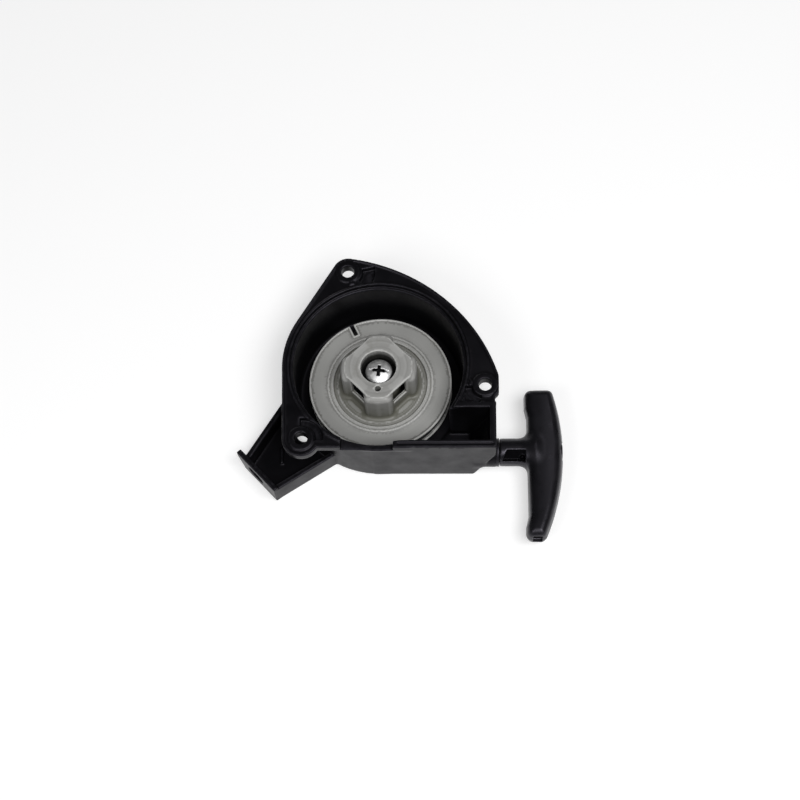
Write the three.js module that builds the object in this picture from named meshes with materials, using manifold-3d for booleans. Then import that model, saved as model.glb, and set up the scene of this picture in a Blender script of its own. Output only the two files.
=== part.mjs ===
// Recoil starter for a small two-stroke engine, seen lying on its outer face with the engine side up.
// Millimetres, +Z up. The origin is on the reel's axis, on the outer face that the starter rests on.
// +X is the direction in which the rope is pulled, and -Y is the side with the long flat wall.
import * as THREE from 'three';
import { mergeVertices } from 'three/addons/utils/BufferGeometryUtils.js';
import Module from 'manifold-3d';

const wasm = await Module();
wasm.setup();

// ---------------------------------------------------------------- driving dimensions
const DEPTH = 31.5; // outer face to the plane that bolts to the crankcase
const CLEARANCE = 0.3; // gap kept between pieces that touch

// casing shell
const WALL = 2.4;
const FLOOR = 2.2;
const SHELL_R = 38.9;
const CAVITY_R = SHELL_R - WALL + 0.1;
const REBATE_R = 38.1; // the cavity opens out near the flange
const REBATE_Z = 29.6;
const FLANGE_R = 41.2;
const FLANGE_Z = 27.4; // underside of the mounting flange
const FLAT_Y = -38.8; // long flat wall
const FLAT_WALL = 3.4;
const SIDE_X = 50.3; // wall that the rope leaves through
const SIDE_SLOPE = { run: 9.3, top: 22 }; // that wall slopes inward below this height
const POCKET_FLOOR = 3;
const POCKET_TOP = -20.6; // inner faces of the square rope pocket
const LOW_RIM_DROP = 3;
const LOW_RIM_X = [-15, 7];
const SIDE_LAND = { x: [36, 49.9], y: [-19, -10] }; // flange between the side boss and the corner
const REEL_CLEAR_R = 32.3; // kept clear for the reel's rim

// mounting holes, spaced evenly round the reel's axis
const HOLE_CIRCLE_R = 46.9;
const HOLE_R = 2.8;
const HOLE_ANGLES = [107.6, 227.6, 347.6];
const BOSS_R = [6.7, 8, 6.7];
const TOP_EDGE_TURN = 150; // outward direction of the straight edge by the top boss
const SIDE_ARC_OFFSET = 38.5; // how far behind the axis the long curved edge is centred

// clamp arm
const ARM_ANGLE = 223.8;
const ARM_PLATE_FACE = 67.4;
const ARM_PLATE = 2.3;
const ARM_RIGHT = { rootU: 28, rootV: 13.1, endV: 6.2 }; // edges, in the arm's own directions
const ARM_LEFT = { rootU: 28, rootV: -25.8, endV: -15.1 };
const ARM_TAB = { v: -18.7, z: 9, footV: -15.1 }; // the plate's tab, cut away slantwise below
const ARM_H = 11;
const ARM_PLATE_H = 12.4;
const ARM_WALL = 2.2;
const ARM_SLOT = { v: -6.8, half: 4.6, r: 2.9, z: 6.6 };
const ARM_RIB = { from: [50.2, -9.9], to: [54.9, -4.6], width: 1.1, z: [1, 3.2] };

// slanted clearance beside the arm's boss, so that a driver reaches the screw from the outer side
const RELIEF_R = 3.4;
const RELIEF_FOOT = [-33.9, -19.5];

// rope line
const ROPE_R = 1.3;
const ROPE_Y = -32.6;
const ROPE_Z = 10;
const GUIDE = { r: 4.2, bore: 2.2, rim: 6.1, x: [45, 50.6, 51.6] };
const OUTLET_X = 41; // inner end of the boss that holds the guide

// reel
const RIM_Z = 11.5;
const RIM_R = 31.4;
const REEL_BASE_Z = 2.9;
const FLANGE_T = 1.25;
const RIM_LIP = { w: 0.9, h: 0.35 };
const CORE_R = 22;
const CORE_INNER_R = 18.2;
const DISH_R = 20.6;
const WEB_Z = [9.2, 10.4];
const HUB_R = 16.5;
const HUB_TOP = 27.8;
const HUB_WALL = 1.5;
const HUB_CHORD = 13; // from the axis to the flat bottom of a pocket between two arms
const HUB_ARM_HALF = 6.1;
const TUBE_R = 8.9;
const BORE_R = 5.9;
const RECESS_R = 7.7;
const RECESS_Z = 20;
const NOTCH = { angle: 115.6, r: 26, width: 1.8, border: 0.8 };
const WINDOW = { width: 8, z: [16.2, 26.8] };
const HUB_HOLE = { r: 1.3, from: 10.2 };

// post, sleeve, screw and washer on the reel's axis
const POST_R = 3.9;
const POST_TOP = 19.4;
const SLEEVE_R = [4.2, 5.6];
const WASHER = { inner: 2.8, outer: 7.1, z: [20.4, 21.6] };
const SCREW_HEAD = { r: 5.9, z: [21.9, 24.6] };
const SCREW_R = 2.2;
const SCREW_TIP = 7;
const SLOT_TURN = -7; // the driver slot's direction, in degrees
const SLOT = { width: 0.8, depth: 0.9 };
const CROSS = { length: 5.8, width: 1.1, depth: 1.6 };

// spring and its case
const CASE = { hole: 9.3, inner: 17.2, outer: 17.7, z: [2.5, 8.3], floor: 0.5 };
const SPRING = { inner: 9.6, outer: 16.8, z: [3.4, 8.6], thick: 0.6, turns: 5 };

// rope winding
const WIND_ROWS = [5.75, 8.65];
const WIND_R = [23.6, 26.5, 29.4];
const EXIT_ANGLE = 266.4; // the rope leaves the reel here
const CROSSING = 30; // degrees over which the rope moves to the next place
const KNOT_R = 20.6;
const POCKET_LAG = 8; // the pocket stays deep this many degrees past the rope
const KNOT = [1.3, 2.6, 1.3]; // half sizes: radial, along the rope, vertical

// handle
const STEM_R = 6;
const STEM_X = 51.9;
const STEM_BORE = 1.9;
const STEM_GROOVE = { x: [54, 62.8], half: 2.5, floor: 3, turn: 36.5 };
const BAR_INNER_X = 63.3;
const BAR_ARC_R = 98;
const BAR_OUTER_X = 79.2;
const BAR_Y = [-72.6, -4.4];
const BAR_HALF_H = 6.2;
const BAR_BEVEL = 1.7;
const BAR_FILLET = 4.6;
const BAR_CORNER = 3;
const END_RECESS = { x: [65.9, 69.5], half: 3, depth: 2.4 }; // in the bar's near end
const KNOT_POCKET = { r: 4.3, x: 71 };
const KNOT_WASHER = { inner: 1.7, outer: 3.9, x: [71.3, 72.1] };
const HANDLE_KNOT = { r: 3.2, x: [72.4, 76.2] };
const CAP = { r: 4, x: [76.5, 78.8] };

// ---------------------------------------------------------------- materials
const plain = (color, roughness, metalness = 0) => new THREE.MeshStandardMaterial({ color, roughness, metalness });
const BLACK_PLASTIC = plain('#131315', 0.45);
const HANDLE_PLASTIC = plain('#1b1b1e', 0.38);
const WHITE_NYLON = plain('#b9bab2', 0.5);
const BRIGHT_ZINC = plain('#d6d7da', 0.25, 1);
const SPRING_STEEL = plain('#5d6268', 0.35, 1);
const ROPE_FIBRE = plain('#1d1d1f', 0.9);

// ---------------------------------------------------------------- solid helpers
const MERGE = 1e-3;
const radians = THREE.MathUtils.degToRad;
const polar = (r, degrees) => new THREE.Vector2(r * Math.cos(radians(degrees)), r * Math.sin(radians(degrees)));

function solid(geometry) {
  const bare = geometry.index ? geometry.toNonIndexed() : geometry.clone();
  bare.deleteAttribute('normal');
  bare.deleteAttribute('uv');
  const merged = mergeVertices(bare, MERGE);
  const mesh = new wasm.Mesh({
    numProp: 3,
    vertProperties: new Float32Array(merged.attributes.position.array),
    triVerts: new Uint32Array(merged.index.array),
  });
  return new wasm.Manifold(mesh);
}

function geometryOf(manifold) {
  const mesh = manifold.getMesh();
  const geometry = new THREE.BufferGeometry();
  geometry.setAttribute('position', new THREE.BufferAttribute(mesh.vertProperties, 3));
  geometry.setIndex(new THREE.BufferAttribute(mesh.triVerts, 1));
  const flat = geometry.toNonIndexed();
  flat.computeVertexNormals();
  return flat;
}

const joined = (...parts) => parts.reduce((whole, part) => whole.add(part));
const cutBy = (base, ...tools) => tools.reduce((rest, tool) => rest.subtract(tool), base);

function prism(shape, z0, z1, curveSegments = 12) {
  const geometry = new THREE.ExtrudeGeometry(shape, { depth: z1 - z0, bevelEnabled: false, curveSegments });
  return solid(geometry.translate(0, 0, z0));
}

const polygon = (points) => new THREE.Shape(points.map(([x, y]) => new THREE.Vector2(x, y)));

function disc(r, z0, z1, segments = 32, centre = [0, 0]) {
  const geometry = new THREE.CylinderGeometry(r, r, z1 - z0, segments);
  geometry.rotateX(Math.PI / 2);
  return solid(geometry.translate(centre[0], centre[1], (z0 + z1) / 2));
}

function discAlongX(r, x0, x1, segments = 24, centre = [ROPE_Y, ROPE_Z]) {
  const geometry = new THREE.CylinderGeometry(r, r, x1 - x0, segments);
  geometry.rotateZ(-Math.PI / 2);
  return solid(geometry.translate((x0 + x1) / 2, centre[0], centre[1]));
}

function block(x, y, z) {
  const geometry = new THREE.BoxGeometry(x[1] - x[0], y[1] - y[0], z[1] - z[0]);
  return solid(geometry.translate((x[0] + x[1]) / 2, (y[0] + y[1]) / 2, (z[0] + z[1]) / 2));
}

const ring = (inner, outer, z0, z1, segments = 32) =>
  disc(outer, z0, z1, segments).subtract(disc(inner, z0 - 1, z1 + 1, segments));

function rodBetween(from, to, r, segments = 20) {
  const axis = new THREE.Vector3().subVectors(to, from);
  const geometry = new THREE.CylinderGeometry(r, r, axis.length(), segments);
  const turn = new THREE.Quaternion().setFromUnitVectors(new THREE.Vector3(0, 1, 0), axis.clone().normalize());
  geometry.applyQuaternion(turn);
  const middle = new THREE.Vector3().addVectors(from, to).multiplyScalar(0.5);
  return solid(geometry.translate(middle.x, middle.y, middle.z));
}

function sweptTube(points, r, steps, sides = 8) {
  const section = new THREE.Shape();
  for (let i = 0; i < sides; i += 1) {
    const angle = (2 * Math.PI * i) / sides;
    const x = r * Math.cos(angle);
    const y = r * Math.sin(angle);
    if (i === 0) section.moveTo(x, y);
    else section.lineTo(x, y);
  }
  const extrudePath = new THREE.CatmullRomCurve3(points, false, 'centripetal');
  return new THREE.ExtrudeGeometry(section, { steps, bevelEnabled: false, extrudePath });
}

// ---------------------------------------------------------------- casing
const bosses = HOLE_ANGLES.map((angle) => polar(HOLE_CIRCLE_R, angle));
const [topBoss, armBoss, sideBoss] = bosses;

// A straight flange edge that touches the round shell and a boss, with the given outward direction.
function straightEdge(direction, boss, bossR) {
  const onShell = polar(FLANGE_R, direction);
  const onBoss = polar(bossR, direction).add(boss);
  return polygon([[0, 0], boss.toArray(), onBoss.toArray(), onShell.toArray()]);
}

// The long curved edge between the top boss and the side boss is one arc that touches both.
function curvedSide() {
  const centre = polar(SIDE_ARC_OFFSET, HOLE_ANGLES[1]);
  const toTop = new THREE.Vector2().subVectors(topBoss, centre);
  const toSide = new THREE.Vector2().subVectors(sideBoss, centre);
  const r = toTop.length() + BOSS_R[0];
  const shape = new THREE.Shape();
  shape.moveTo(0, 0);
  shape.lineTo(sideBoss.x, sideBoss.y);
  shape.absarc(centre.x, centre.y, r, toSide.angle(), toTop.angle(), false);
  shape.lineTo(topBoss.x, topBoss.y);
  return shape;
}

function flangeSolid() {
  const z = [FLANGE_Z, DEPTH];
  const rounds = bosses.map((boss, i) => disc(BOSS_R[i], ...z, 28, boss.toArray()));
  const corner = polygon([[0, 0], armBoss.toArray(), [armBoss.x, FLAT_Y], [-10, FLAT_Y]]);
  return joined(
    disc(FLANGE_R, ...z, 72),
    ...rounds,
    prism(straightEdge(TOP_EDGE_TURN, topBoss, BOSS_R[0]), ...z),
    prism(straightEdge(2 * (HOLE_ANGLES[0] + 60) - TOP_EDGE_TURN, armBoss, BOSS_R[1]), ...z),
    prism(curvedSide(), ...z, 20),
    prism(corner, ...z),
  ).subtract(block([-14, 60], [-60, FLAT_Y], [0, DEPTH + 1]));
}

// Curved lightening pocket in the flange beside a boss.
function bossPocket(boss, r0, r1, from, to) {
  const shape = new THREE.Shape();
  const start = polar(r0, from).add(boss);
  shape.moveTo(start.x, start.y);
  shape.absarc(boss.x, boss.y, r0, radians(from), radians(to), false);
  shape.absarc(boss.x, boss.y, r1, radians(to), radians(from), true);
  return prism(shape, FLANGE_Z + 1.2, DEPTH + 1, 8);
}

// The arm is drawn in its own directions: u runs outward along it and v across it.
function armPrism(points, z0, z1) {
  const placed = points.map(([u, v]) => polar(u, ARM_ANGLE).add(polar(v, ARM_ANGLE + 90)).toArray());
  return prism(polygon(placed), z0, z1);
}

// A prism whose outline is drawn across the arm, in v and z, and which runs outward along u.
function acrossPrism(shape, u0, u1) {
  const outward = polar(1, ARM_ANGLE);
  const across = polar(1, ARM_ANGLE + 90);
  const frame = new THREE.Matrix4().makeBasis(
    new THREE.Vector3(across.x, across.y, 0),
    new THREE.Vector3(0, 0, 1),
    new THREE.Vector3(outward.x, outward.y, 0),
  );
  const geometry = new THREE.ExtrudeGeometry(shape, { depth: u1 - u0, bevelEnabled: false, curveSegments: 8 });
  return solid(geometry.translate(0, 0, u0).applyMatrix4(frame));
}

function slottedPlate() {
  const { v, half, r, z } = ARM_SLOT;
  const reach = half - r;
  const plate = polygon([
    [ARM_RIGHT.endV, 0],
    [ARM_RIGHT.endV, ARM_PLATE_H],
    [ARM_TAB.v, ARM_PLATE_H],
    [ARM_TAB.v, ARM_TAB.z],
    [ARM_TAB.footV, 0],
  ]);
  const slot = new THREE.Path();
  slot.absarc(v + reach, z, r, -Math.PI / 2, Math.PI / 2, false);
  slot.absarc(v - reach, z, r, Math.PI / 2, 1.5 * Math.PI, false);
  plate.holes.push(slot);
  return acrossPrism(plate, ARM_PLATE_FACE - ARM_PLATE, ARM_PLATE_FACE);
}

function armSolid() {
  const end = ARM_PLATE_FACE - ARM_PLATE;
  const outline = (inset, endU) => [
    [ARM_RIGHT.rootU, ARM_RIGHT.rootV - inset],
    [endU, ARM_RIGHT.endV - inset],
    [endU, ARM_LEFT.endV + inset],
    [ARM_LEFT.rootU, ARM_LEFT.rootV + inset],
  ];
  const tray = armPrism(outline(0, end + 1), 0, ARM_H);
  const hollow = armPrism(outline(ARM_WALL, end), FLOOR, ARM_H + 1);
  const start = new THREE.Vector2(...ARM_RIB.from);
  const stop = new THREE.Vector2(...ARM_RIB.to);
  const aside = new THREE.Vector2().subVectors(stop, start).rotateAround(new THREE.Vector2(), Math.PI / 2);
  aside.setLength(ARM_RIB.width / 2);
  const corners = [
    start.clone().add(aside),
    start.clone().sub(aside),
    stop.clone().sub(aside),
    stop.clone().add(aside),
  ];
  const rib = armPrism(corners.map((point) => point.toArray()), ...ARM_RIB.z);
  return joined(cutBy(tray, hollow), slottedPlate(), rib);
}

// The square corner that the rope runs through. Its end wall slopes inward towards the outer face.
function cornerBlock(inset, y, z) {
  const atHeight = (height) => {
    const rise = Math.min(height, SIDE_SLOPE.top) / SIDE_SLOPE.top;
    return SIDE_X - inset - SIDE_SLOPE.run * (1 - rise);
  };
  const profile = polygon([
    [0, z[0]],
    [atHeight(z[0]), z[0]],
    [atHeight(SIDE_SLOPE.top), SIDE_SLOPE.top],
    [atHeight(z[1]), z[1]],
    [0, z[1]],
  ]);
  const geometry = new THREE.ExtrudeGeometry(profile, { depth: y[1] - y[0], bevelEnabled: false });
  geometry.rotateX(Math.PI / 2);
  return solid(geometry.translate(0, y[1], 0));
}

// A driver reaches the arm's screw through this slanted channel, which has a wall round it.
function reliefRod(r) {
  const top = new THREE.Vector3(armBoss.x, armBoss.y, DEPTH);
  const foot = new THREE.Vector3(...RELIEF_FOOT, 0);
  const along = new THREE.Vector3().subVectors(foot, top);
  return rodBetween(top, along.multiplyScalar(1.1).add(top), r);
}

function casingSolid() {
  const outer = joined(
    disc(SHELL_R, 0, DEPTH, 72),
    cornerBlock(0, [FLAT_Y, POCKET_TOP + WALL], [0, DEPTH]),
    block([SIDE_LAND.x[0], SIDE_LAND.x[1]], SIDE_LAND.y, [FLANGE_Z, DEPTH]),
    armSolid(),
    flangeSolid(),
  );
  const wallInside = FLAT_Y + FLAT_WALL;
  const hollow = cutBy(
    outer,
    disc(CAVITY_R, FLOOR, DEPTH + 1, 72),
    disc(REBATE_R, REBATE_Z, DEPTH + 1, 72).intersect(block([-60, 60], [wallInside, 60], [0, 60])),
    cornerBlock(WALL + CLEARANCE, [wallInside, POCKET_TOP], [POCKET_FLOOR, DEPTH + 1]),
    block(LOW_RIM_X, [FLAT_Y - 5, wallInside + 5], [DEPTH - LOW_RIM_DROP, DEPTH + 1]),
    ...bosses.map((boss) => disc(HOLE_R, FLANGE_Z - 1, DEPTH + 1, 24, boss.toArray())),
    bossPocket(armBoss, 6, 9.4, -5, 95),
    bossPocket(sideBoss, 5.6, 8.6, 185, 255),
    bossPocket(topBoss, 6.4, 12, -40, 12).subtract(disc(REBATE_R + 1.3, 0, DEPTH + 2, 72)),
  );
  const backing = reliefRod(RELIEF_R + 1.6).intersect(disc(SHELL_R - 1.5, 0, 14, 72));
  const outlet = discAlongX(ROPE_Y - FLAT_Y, OUTLET_X, SIDE_X, 28);
  const post = disc(POST_R, 0, POST_TOP, 28);
  const belowFlange = disc(2 * SHELL_R, -1, FLANGE_Z - 0.5, 12);
  return cutBy(
    joined(hollow, backing.subtract(disc(REEL_CLEAR_R, FLOOR, DEPTH, 72)), outlet, post),
    reliefRod(RELIEF_R).intersect(belowFlange),
    discAlongX(GUIDE.r + CLEARANCE, OUTLET_X - 1, SIDE_X + 1, 24),
    disc(SCREW_R + CLEARANCE, SCREW_TIP - 1, POST_TOP + 1, 20),
  );
}

// ---------------------------------------------------------------- reel
function ropeDrum() {
  const base = REEL_BASE_Z;
  const grooveTop = RIM_Z - FLANGE_T;
  const flangeTop = RIM_Z - RIM_LIP.h;
  const profile = [
    [CORE_INNER_R, base],
    [RIM_R, base],
    [RIM_R, base + FLANGE_T],
    [CORE_R, base + FLANGE_T],
    [CORE_R, grooveTop],
    [RIM_R, grooveTop],
    [RIM_R, RIM_Z],
    [RIM_R - RIM_LIP.w, RIM_Z],
    [RIM_R - RIM_LIP.w, flangeTop],
    [DISH_R, flangeTop],
    [DISH_R, WEB_Z[1]],
    [TUBE_R - 1, WEB_Z[1]],
    [TUBE_R - 1, WEB_Z[0]],
    [CORE_INNER_R, WEB_Z[0]],
    [CORE_INNER_R, base],
  ].map(([r, z]) => new THREE.Vector2(r, z));
  const geometry = new THREE.LatheGeometry(profile, 60);
  return solid(geometry.rotateX(Math.PI / 2));
}

// Four arms with flat-bottomed pockets between them. Shrinking it by the wall gives the hollow inside.
function hubBody(shrink, z0, z1) {
  const reach = HUB_R - shrink;
  const half = HUB_ARM_HALF - shrink;
  const corner = (HUB_CHORD - shrink) * Math.SQRT2 - half;
  const far = 2 * reach;
  const cutter = polygon([[corner, half], [far, half], [far, far], [half, far], [half, corner]]);
  const pockets = [0, 90, 180, 270].map((turn) => prism(cutter, z0 - 1, z1 + 1).rotate([0, 0, turn]));
  return cutBy(disc(reach, z0, z1, 64), ...pockets);
}

function hubSolid() {
  const outer = hubBody(0, WEB_Z[0], HUB_TOP);
  const hollow = hubBody(HUB_WALL, REEL_BASE_Z - 1, HUB_TOP - HUB_WALL);
  const tube = disc(TUBE_R, REEL_BASE_Z + 0.5, HUB_TOP, 40);
  const windows = [45, 135, 225, 315].map((turn) =>
    block([TUBE_R + 1, HUB_R + 2], [-WINDOW.width / 2, WINDOW.width / 2], WINDOW.z).rotate([0, 0, turn]));
  return { outer, hollow, tube, windows };
}

function reelSolid() {
  const { outer, hollow, tube, windows } = hubSolid();
  const notchFrom = NOTCH.r - NOTCH.border;
  const half = NOTCH.width / 2;
  const border = block([notchFrom, RIM_R - 0.5], [-half - NOTCH.border, half + NOTCH.border], [RIM_Z - 1, RIM_Z])
    .rotate([0, 0, NOTCH.angle]);
  const notch = block([NOTCH.r, RIM_R + 2], [-half, half], [RIM_Z - FLANGE_T - 0.1, RIM_Z + 1])
    .rotate([0, 0, NOTCH.angle]);
  const shell = cutBy(joined(ropeDrum(), outer), hollow, ...windows);
  return cutBy(
    joined(shell, tube, border),
    disc(BORE_R, 0, HUB_TOP + 1, 36),
    disc(RECESS_R, RECESS_Z, HUB_TOP + 1, 40),
    disc(HUB_HOLE.r, HUB_TOP - HUB_WALL - 1, HUB_TOP + 1, 16, [0, -HUB_HOLE.from]),
    notch,
    knotPocket(),
  );
}

// ---------------------------------------------------------------- rope
const WIND_PLACES = [
  [WIND_R[0], WIND_ROWS[0]],
  [WIND_R[0], WIND_ROWS[1]],
  [WIND_R[1], WIND_ROWS[1]],
  [WIND_R[1], WIND_ROWS[0]],
  [WIND_R[2], WIND_ROWS[0]],
  [WIND_R[2], WIND_ROWS[1]],
];
const WIND_TURNS = WIND_PLACES.length - 1;
const smooth = (value) => THREE.MathUtils.smoothstep(value, 0, 1);

// Radius and height of the rope after it has run a given number of degrees round the reel.
function windAt(run) {
  if (run < CROSSING) {
    const out = smooth((run - 8) / (CROSSING - 8));
    return [KNOT_R + (WIND_R[0] - KNOT_R) * out, WIND_ROWS[0]];
  }
  let place = WIND_PLACES[0];
  for (let turn = 1; turn < WIND_PLACES.length; turn += 1) {
    const start = 360 * turn + 5 - CROSSING * turn;
    const share = smooth((run - start) / CROSSING);
    const next = WIND_PLACES[turn];
    if (share > 0) {
      const last = WIND_PLACES[turn - 1];
      place = [last[0] + (next[0] - last[0]) * share, last[1] + (next[1] - last[1]) * share];
    }
  }
  return place;
}

function woundRope() {
  const points = [];
  const gap = THREE.MathUtils.radToDeg(CLEARANCE / WIND_R[2]);
  const first = THREE.MathUtils.radToDeg((KNOT[1] + CLEARANCE) / KNOT_R);
  const last = 360 * WIND_TURNS - gap;
  const count = 22 * WIND_TURNS;
  for (let i = 0; i <= count; i += 1) {
    const run = first + ((last - first) * i) / count;
    const [r, z] = windAt(run);
    const flat = polar(r, EXIT_ANGLE + run);
    points.push(new THREE.Vector3(flat.x, flat.y, z));
  }
  return sweptTube(points, ROPE_R, count);
}

// The rope's first end lies in this pocket of the drum and comes up out of it.
function knotPocket() {
  const room = ROPE_R + CLEARANCE;
  const inside = [];
  const outside = [];
  for (let run = -10; run <= CROSSING + POCKET_LAG; run += 4) {
    inside.push(polar(windAt(run - POCKET_LAG)[0] - room - 0.1, EXIT_ANGLE + run).toArray());
    outside.unshift(polar(CORE_R + 1, EXIT_ANGLE + run).toArray());
  }
  const z = [WIND_ROWS[0] - room, WIND_ROWS[0] + room];
  return prism(polygon([...inside, ...outside]), ...z);
}

function reelKnot() {
  const geometry = new THREE.SphereGeometry(1, 14, 8);
  geometry.scale(...KNOT);
  geometry.rotateZ(radians(EXIT_ANGLE));
  const place = polar(KNOT_R, EXIT_ANGLE);
  return geometry.translate(place.x, place.y, WIND_ROWS[0]);
}

function ropeRun() {
  const leave = polar(WIND_R[2], EXIT_ANGLE);
  const height = WIND_ROWS[1];
  const slope = (ROPE_Y - leave.y) / (SIDE_X - leave.x);
  const on = (x, z) => new THREE.Vector3(x, leave.y + slope * (x - leave.x), z);
  const points = [
    on(leave.x, height),
    on(14, height),
    on(20, height + 0.1),
    on(44, ROPE_Z - 0.15),
    on(SIDE_X, ROPE_Z),
    new THREE.Vector3(SIDE_X + 6, ROPE_Y, ROPE_Z),
    new THREE.Vector3(KNOT_WASHER.x[1], ROPE_Y, ROPE_Z),
  ];
  return sweptTube(points, ROPE_R, 20);
}

function handleKnot() {
  const { r, x } = HANDLE_KNOT;
  const geometry = new THREE.TorusGeometry(r - 1.1, 1.1, 8, 16).rotateY(Math.PI / 2);
  const ringBody = solid(geometry.translate(x[0] + 1.1, ROPE_Y, ROPE_Z));
  const second = new THREE.TorusGeometry(r - 1.4, 1.1, 8, 16).rotateY(Math.PI / 2);
  const crossing = solid(second.translate(x[0] + 2.6, ROPE_Y, ROPE_Z));
  return joined(ringBody, crossing, discAlongX(2.1, x[0] + 0.6, x[1], 12));
}

// ---------------------------------------------------------------- handle
function barOutline() {
  const centreX = BAR_OUTER_X - BAR_ARC_R;
  const outerX = (y) => centreX + Math.sqrt(BAR_ARC_R ** 2 - (y - ROPE_Y) ** 2);
  const corner = BAR_CORNER;
  const [low, high] = BAR_Y;
  const shape = new THREE.Shape();
  const stemSide = [ROPE_Y - STEM_R, ROPE_Y + STEM_R];
  shape.moveTo(BAR_INNER_X + corner, low);
  shape.lineTo(outerX(low) - corner - 0.6, low);
  shape.quadraticCurveTo(outerX(low) - 0.4, low, outerX(low + corner), low + corner);
  shape.absarc(
    centreX,
    ROPE_Y,
    BAR_ARC_R,
    Math.asin((low + corner - ROPE_Y) / BAR_ARC_R),
    Math.asin((high - corner - ROPE_Y) / BAR_ARC_R),
    false,
  );
  shape.quadraticCurveTo(outerX(high), high, outerX(high) - corner, high);
  shape.lineTo(BAR_INNER_X + corner, high);
  shape.quadraticCurveTo(BAR_INNER_X, high, BAR_INNER_X, high - corner);
  shape.lineTo(BAR_INNER_X, stemSide[1] + BAR_FILLET);
  shape.quadraticCurveTo(BAR_INNER_X, stemSide[1], BAR_INNER_X - BAR_FILLET, stemSide[1] - 1);
  shape.lineTo(BAR_INNER_X - BAR_FILLET, stemSide[0] + 1);
  shape.quadraticCurveTo(BAR_INNER_X, stemSide[0], BAR_INNER_X, stemSide[0] - BAR_FILLET);
  shape.lineTo(BAR_INNER_X, low + corner);
  shape.quadraticCurveTo(BAR_INNER_X, low, BAR_INNER_X + corner, low);
  const points = shape.extractPoints(8).shape;
  const distinct = points.filter((point, i) => point.distanceTo(points[(i + 1) % points.length]) > 0.05);
  return new THREE.Shape(distinct);
}

function gripSolid() {
  const straight = 2 * (BAR_HALF_H - BAR_BEVEL);
  const geometry = new THREE.ExtrudeGeometry(barOutline(), {
    depth: straight,
    bevelThickness: BAR_BEVEL,
    bevelSize: BAR_BEVEL,
    bevelOffset: -BAR_BEVEL,
    bevelSegments: 1,
  });
  const bar = solid(geometry.translate(0, 0, ROPE_Z - straight / 2));
  const stem = discAlongX(STEM_R, STEM_X, BAR_INNER_X + 3, 32);
  const groove = block(STEM_GROOVE.x, [-STEM_GROOVE.half, STEM_GROOVE.half], [STEM_GROOVE.floor, STEM_R + 2])
    .rotate([STEM_GROOVE.turn, 0, 0])
    .translate([0, ROPE_Y, ROPE_Z]);
  const low = BAR_Y[0];
  const recessZ = [ROPE_Z - END_RECESS.half, ROPE_Z + END_RECESS.half];
  return cutBy(
    joined(bar, stem),
    groove,
    block(END_RECESS.x, [low - 1, low + END_RECESS.depth], recessZ),
    discAlongX(STEM_BORE, STEM_X - 1, KNOT_POCKET.x + 1, 16),
    discAlongX(KNOT_POCKET.r, KNOT_POCKET.x, BAR_OUTER_X + 2, 28),
  );
}

// ---------------------------------------------------------------- small pieces
function springStrip() {
  const perTurn = 22;
  const count = SPRING.turns * perTurn;
  const inside = [];
  const outside = [];
  for (let i = 0; i <= count; i += 1) {
    const r = SPRING.inner + ((SPRING.outer - SPRING.thick - SPRING.inner) * i) / count;
    const angle = (360 * i) / perTurn;
    inside.push(polar(r, angle).toArray());
    outside.unshift(polar(r + SPRING.thick, angle).toArray());
  }
  return prism(polygon([...inside, ...outside]), ...SPRING.z);
}

function springCase() {
  const { hole, inner, outer, z, floor } = CASE;
  return joined(ring(hole, outer, z[0], z[0] + floor, 44), ring(inner, outer, z[0], z[1], 44));
}

function screwSolid() {
  const { r, z } = SCREW_HEAD;
  const crown = [
    [0, SCREW_TIP],
    [SCREW_R - 0.6, SCREW_TIP],
    [SCREW_R, SCREW_TIP + 0.8],
    [SCREW_R, z[0]],
    [r, z[0]],
    [r, z[0] + 1],
    [r - 0.7, z[1] - 0.9],
    [r - 2, z[1] - 0.25],
    [r - 3.6, z[1]],
    [0, z[1]],
  ].map(([x, y]) => new THREE.Vector2(x, y));
  const body = solid(new THREE.LatheGeometry(crown, 28).rotateX(Math.PI / 2));
  const groove = (length, { width, depth }, turn) =>
    block([-length / 2, length / 2], [-width / 2, width / 2], [z[1] - depth, z[1] + 1]).rotate([0, 0, turn]);
  return cutBy(
    body,
    groove(CROSS.length, CROSS, SLOT_TURN),
    groove(CROSS.length, CROSS, SLOT_TURN + 90),
    groove(2 * r, SLOT, SLOT_TURN),
  );
}

function guideSolid() {
  const { r, bore, rim, x } = GUIDE;
  const barrel = joined(discAlongX(r, x[0], x[2], 24), discAlongX(rim, x[1], x[2], 28));
  return barrel.subtract(discAlongX(bore, x[0] - 1, x[2] + 1, 20));
}

// ---------------------------------------------------------------- assembly
const starter = new THREE.Group();

function place(name, shape, material, parent = starter) {
  const geometry = shape.isBufferGeometry ? shape : geometryOf(shape);
  const mesh = new THREE.Mesh(geometry, material);
  mesh.name = name;
  parent.add(mesh);
}

place('housing', casingSolid(), BLACK_PLASTIC);
place('rope_guide', guideSolid(), BLACK_PLASTIC);
place('spring_case', springCase(), SPRING_STEEL);
place('recoil_spring', springStrip(), SPRING_STEEL);
place('post_sleeve', ring(...SLEEVE_R, CASE.z[0], RECESS_Z + 0.1), SPRING_STEEL);
place('screw_washer', ring(WASHER.inner, WASHER.outer, ...WASHER.z, 36), BRIGHT_ZINC);
place('centre_screw', screwSolid(), BRIGHT_ZINC);
place('reel', reelSolid(), WHITE_NYLON);
place('rope_wound', solid(woundRope()), ROPE_FIBRE);
place('reel_knot', solid(reelKnot()), ROPE_FIBRE);
place('rope_run', solid(ropeRun()), ROPE_FIBRE);
place('knot_washer', discAlongX(KNOT_WASHER.outer, ...KNOT_WASHER.x).subtract(
  discAlongX(KNOT_WASHER.inner, KNOT_WASHER.x[0] - 1, KNOT_WASHER.x[1] + 1, 16)), BRIGHT_ZINC);
place('handle_knot', handleKnot(), ROPE_FIBRE);
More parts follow.
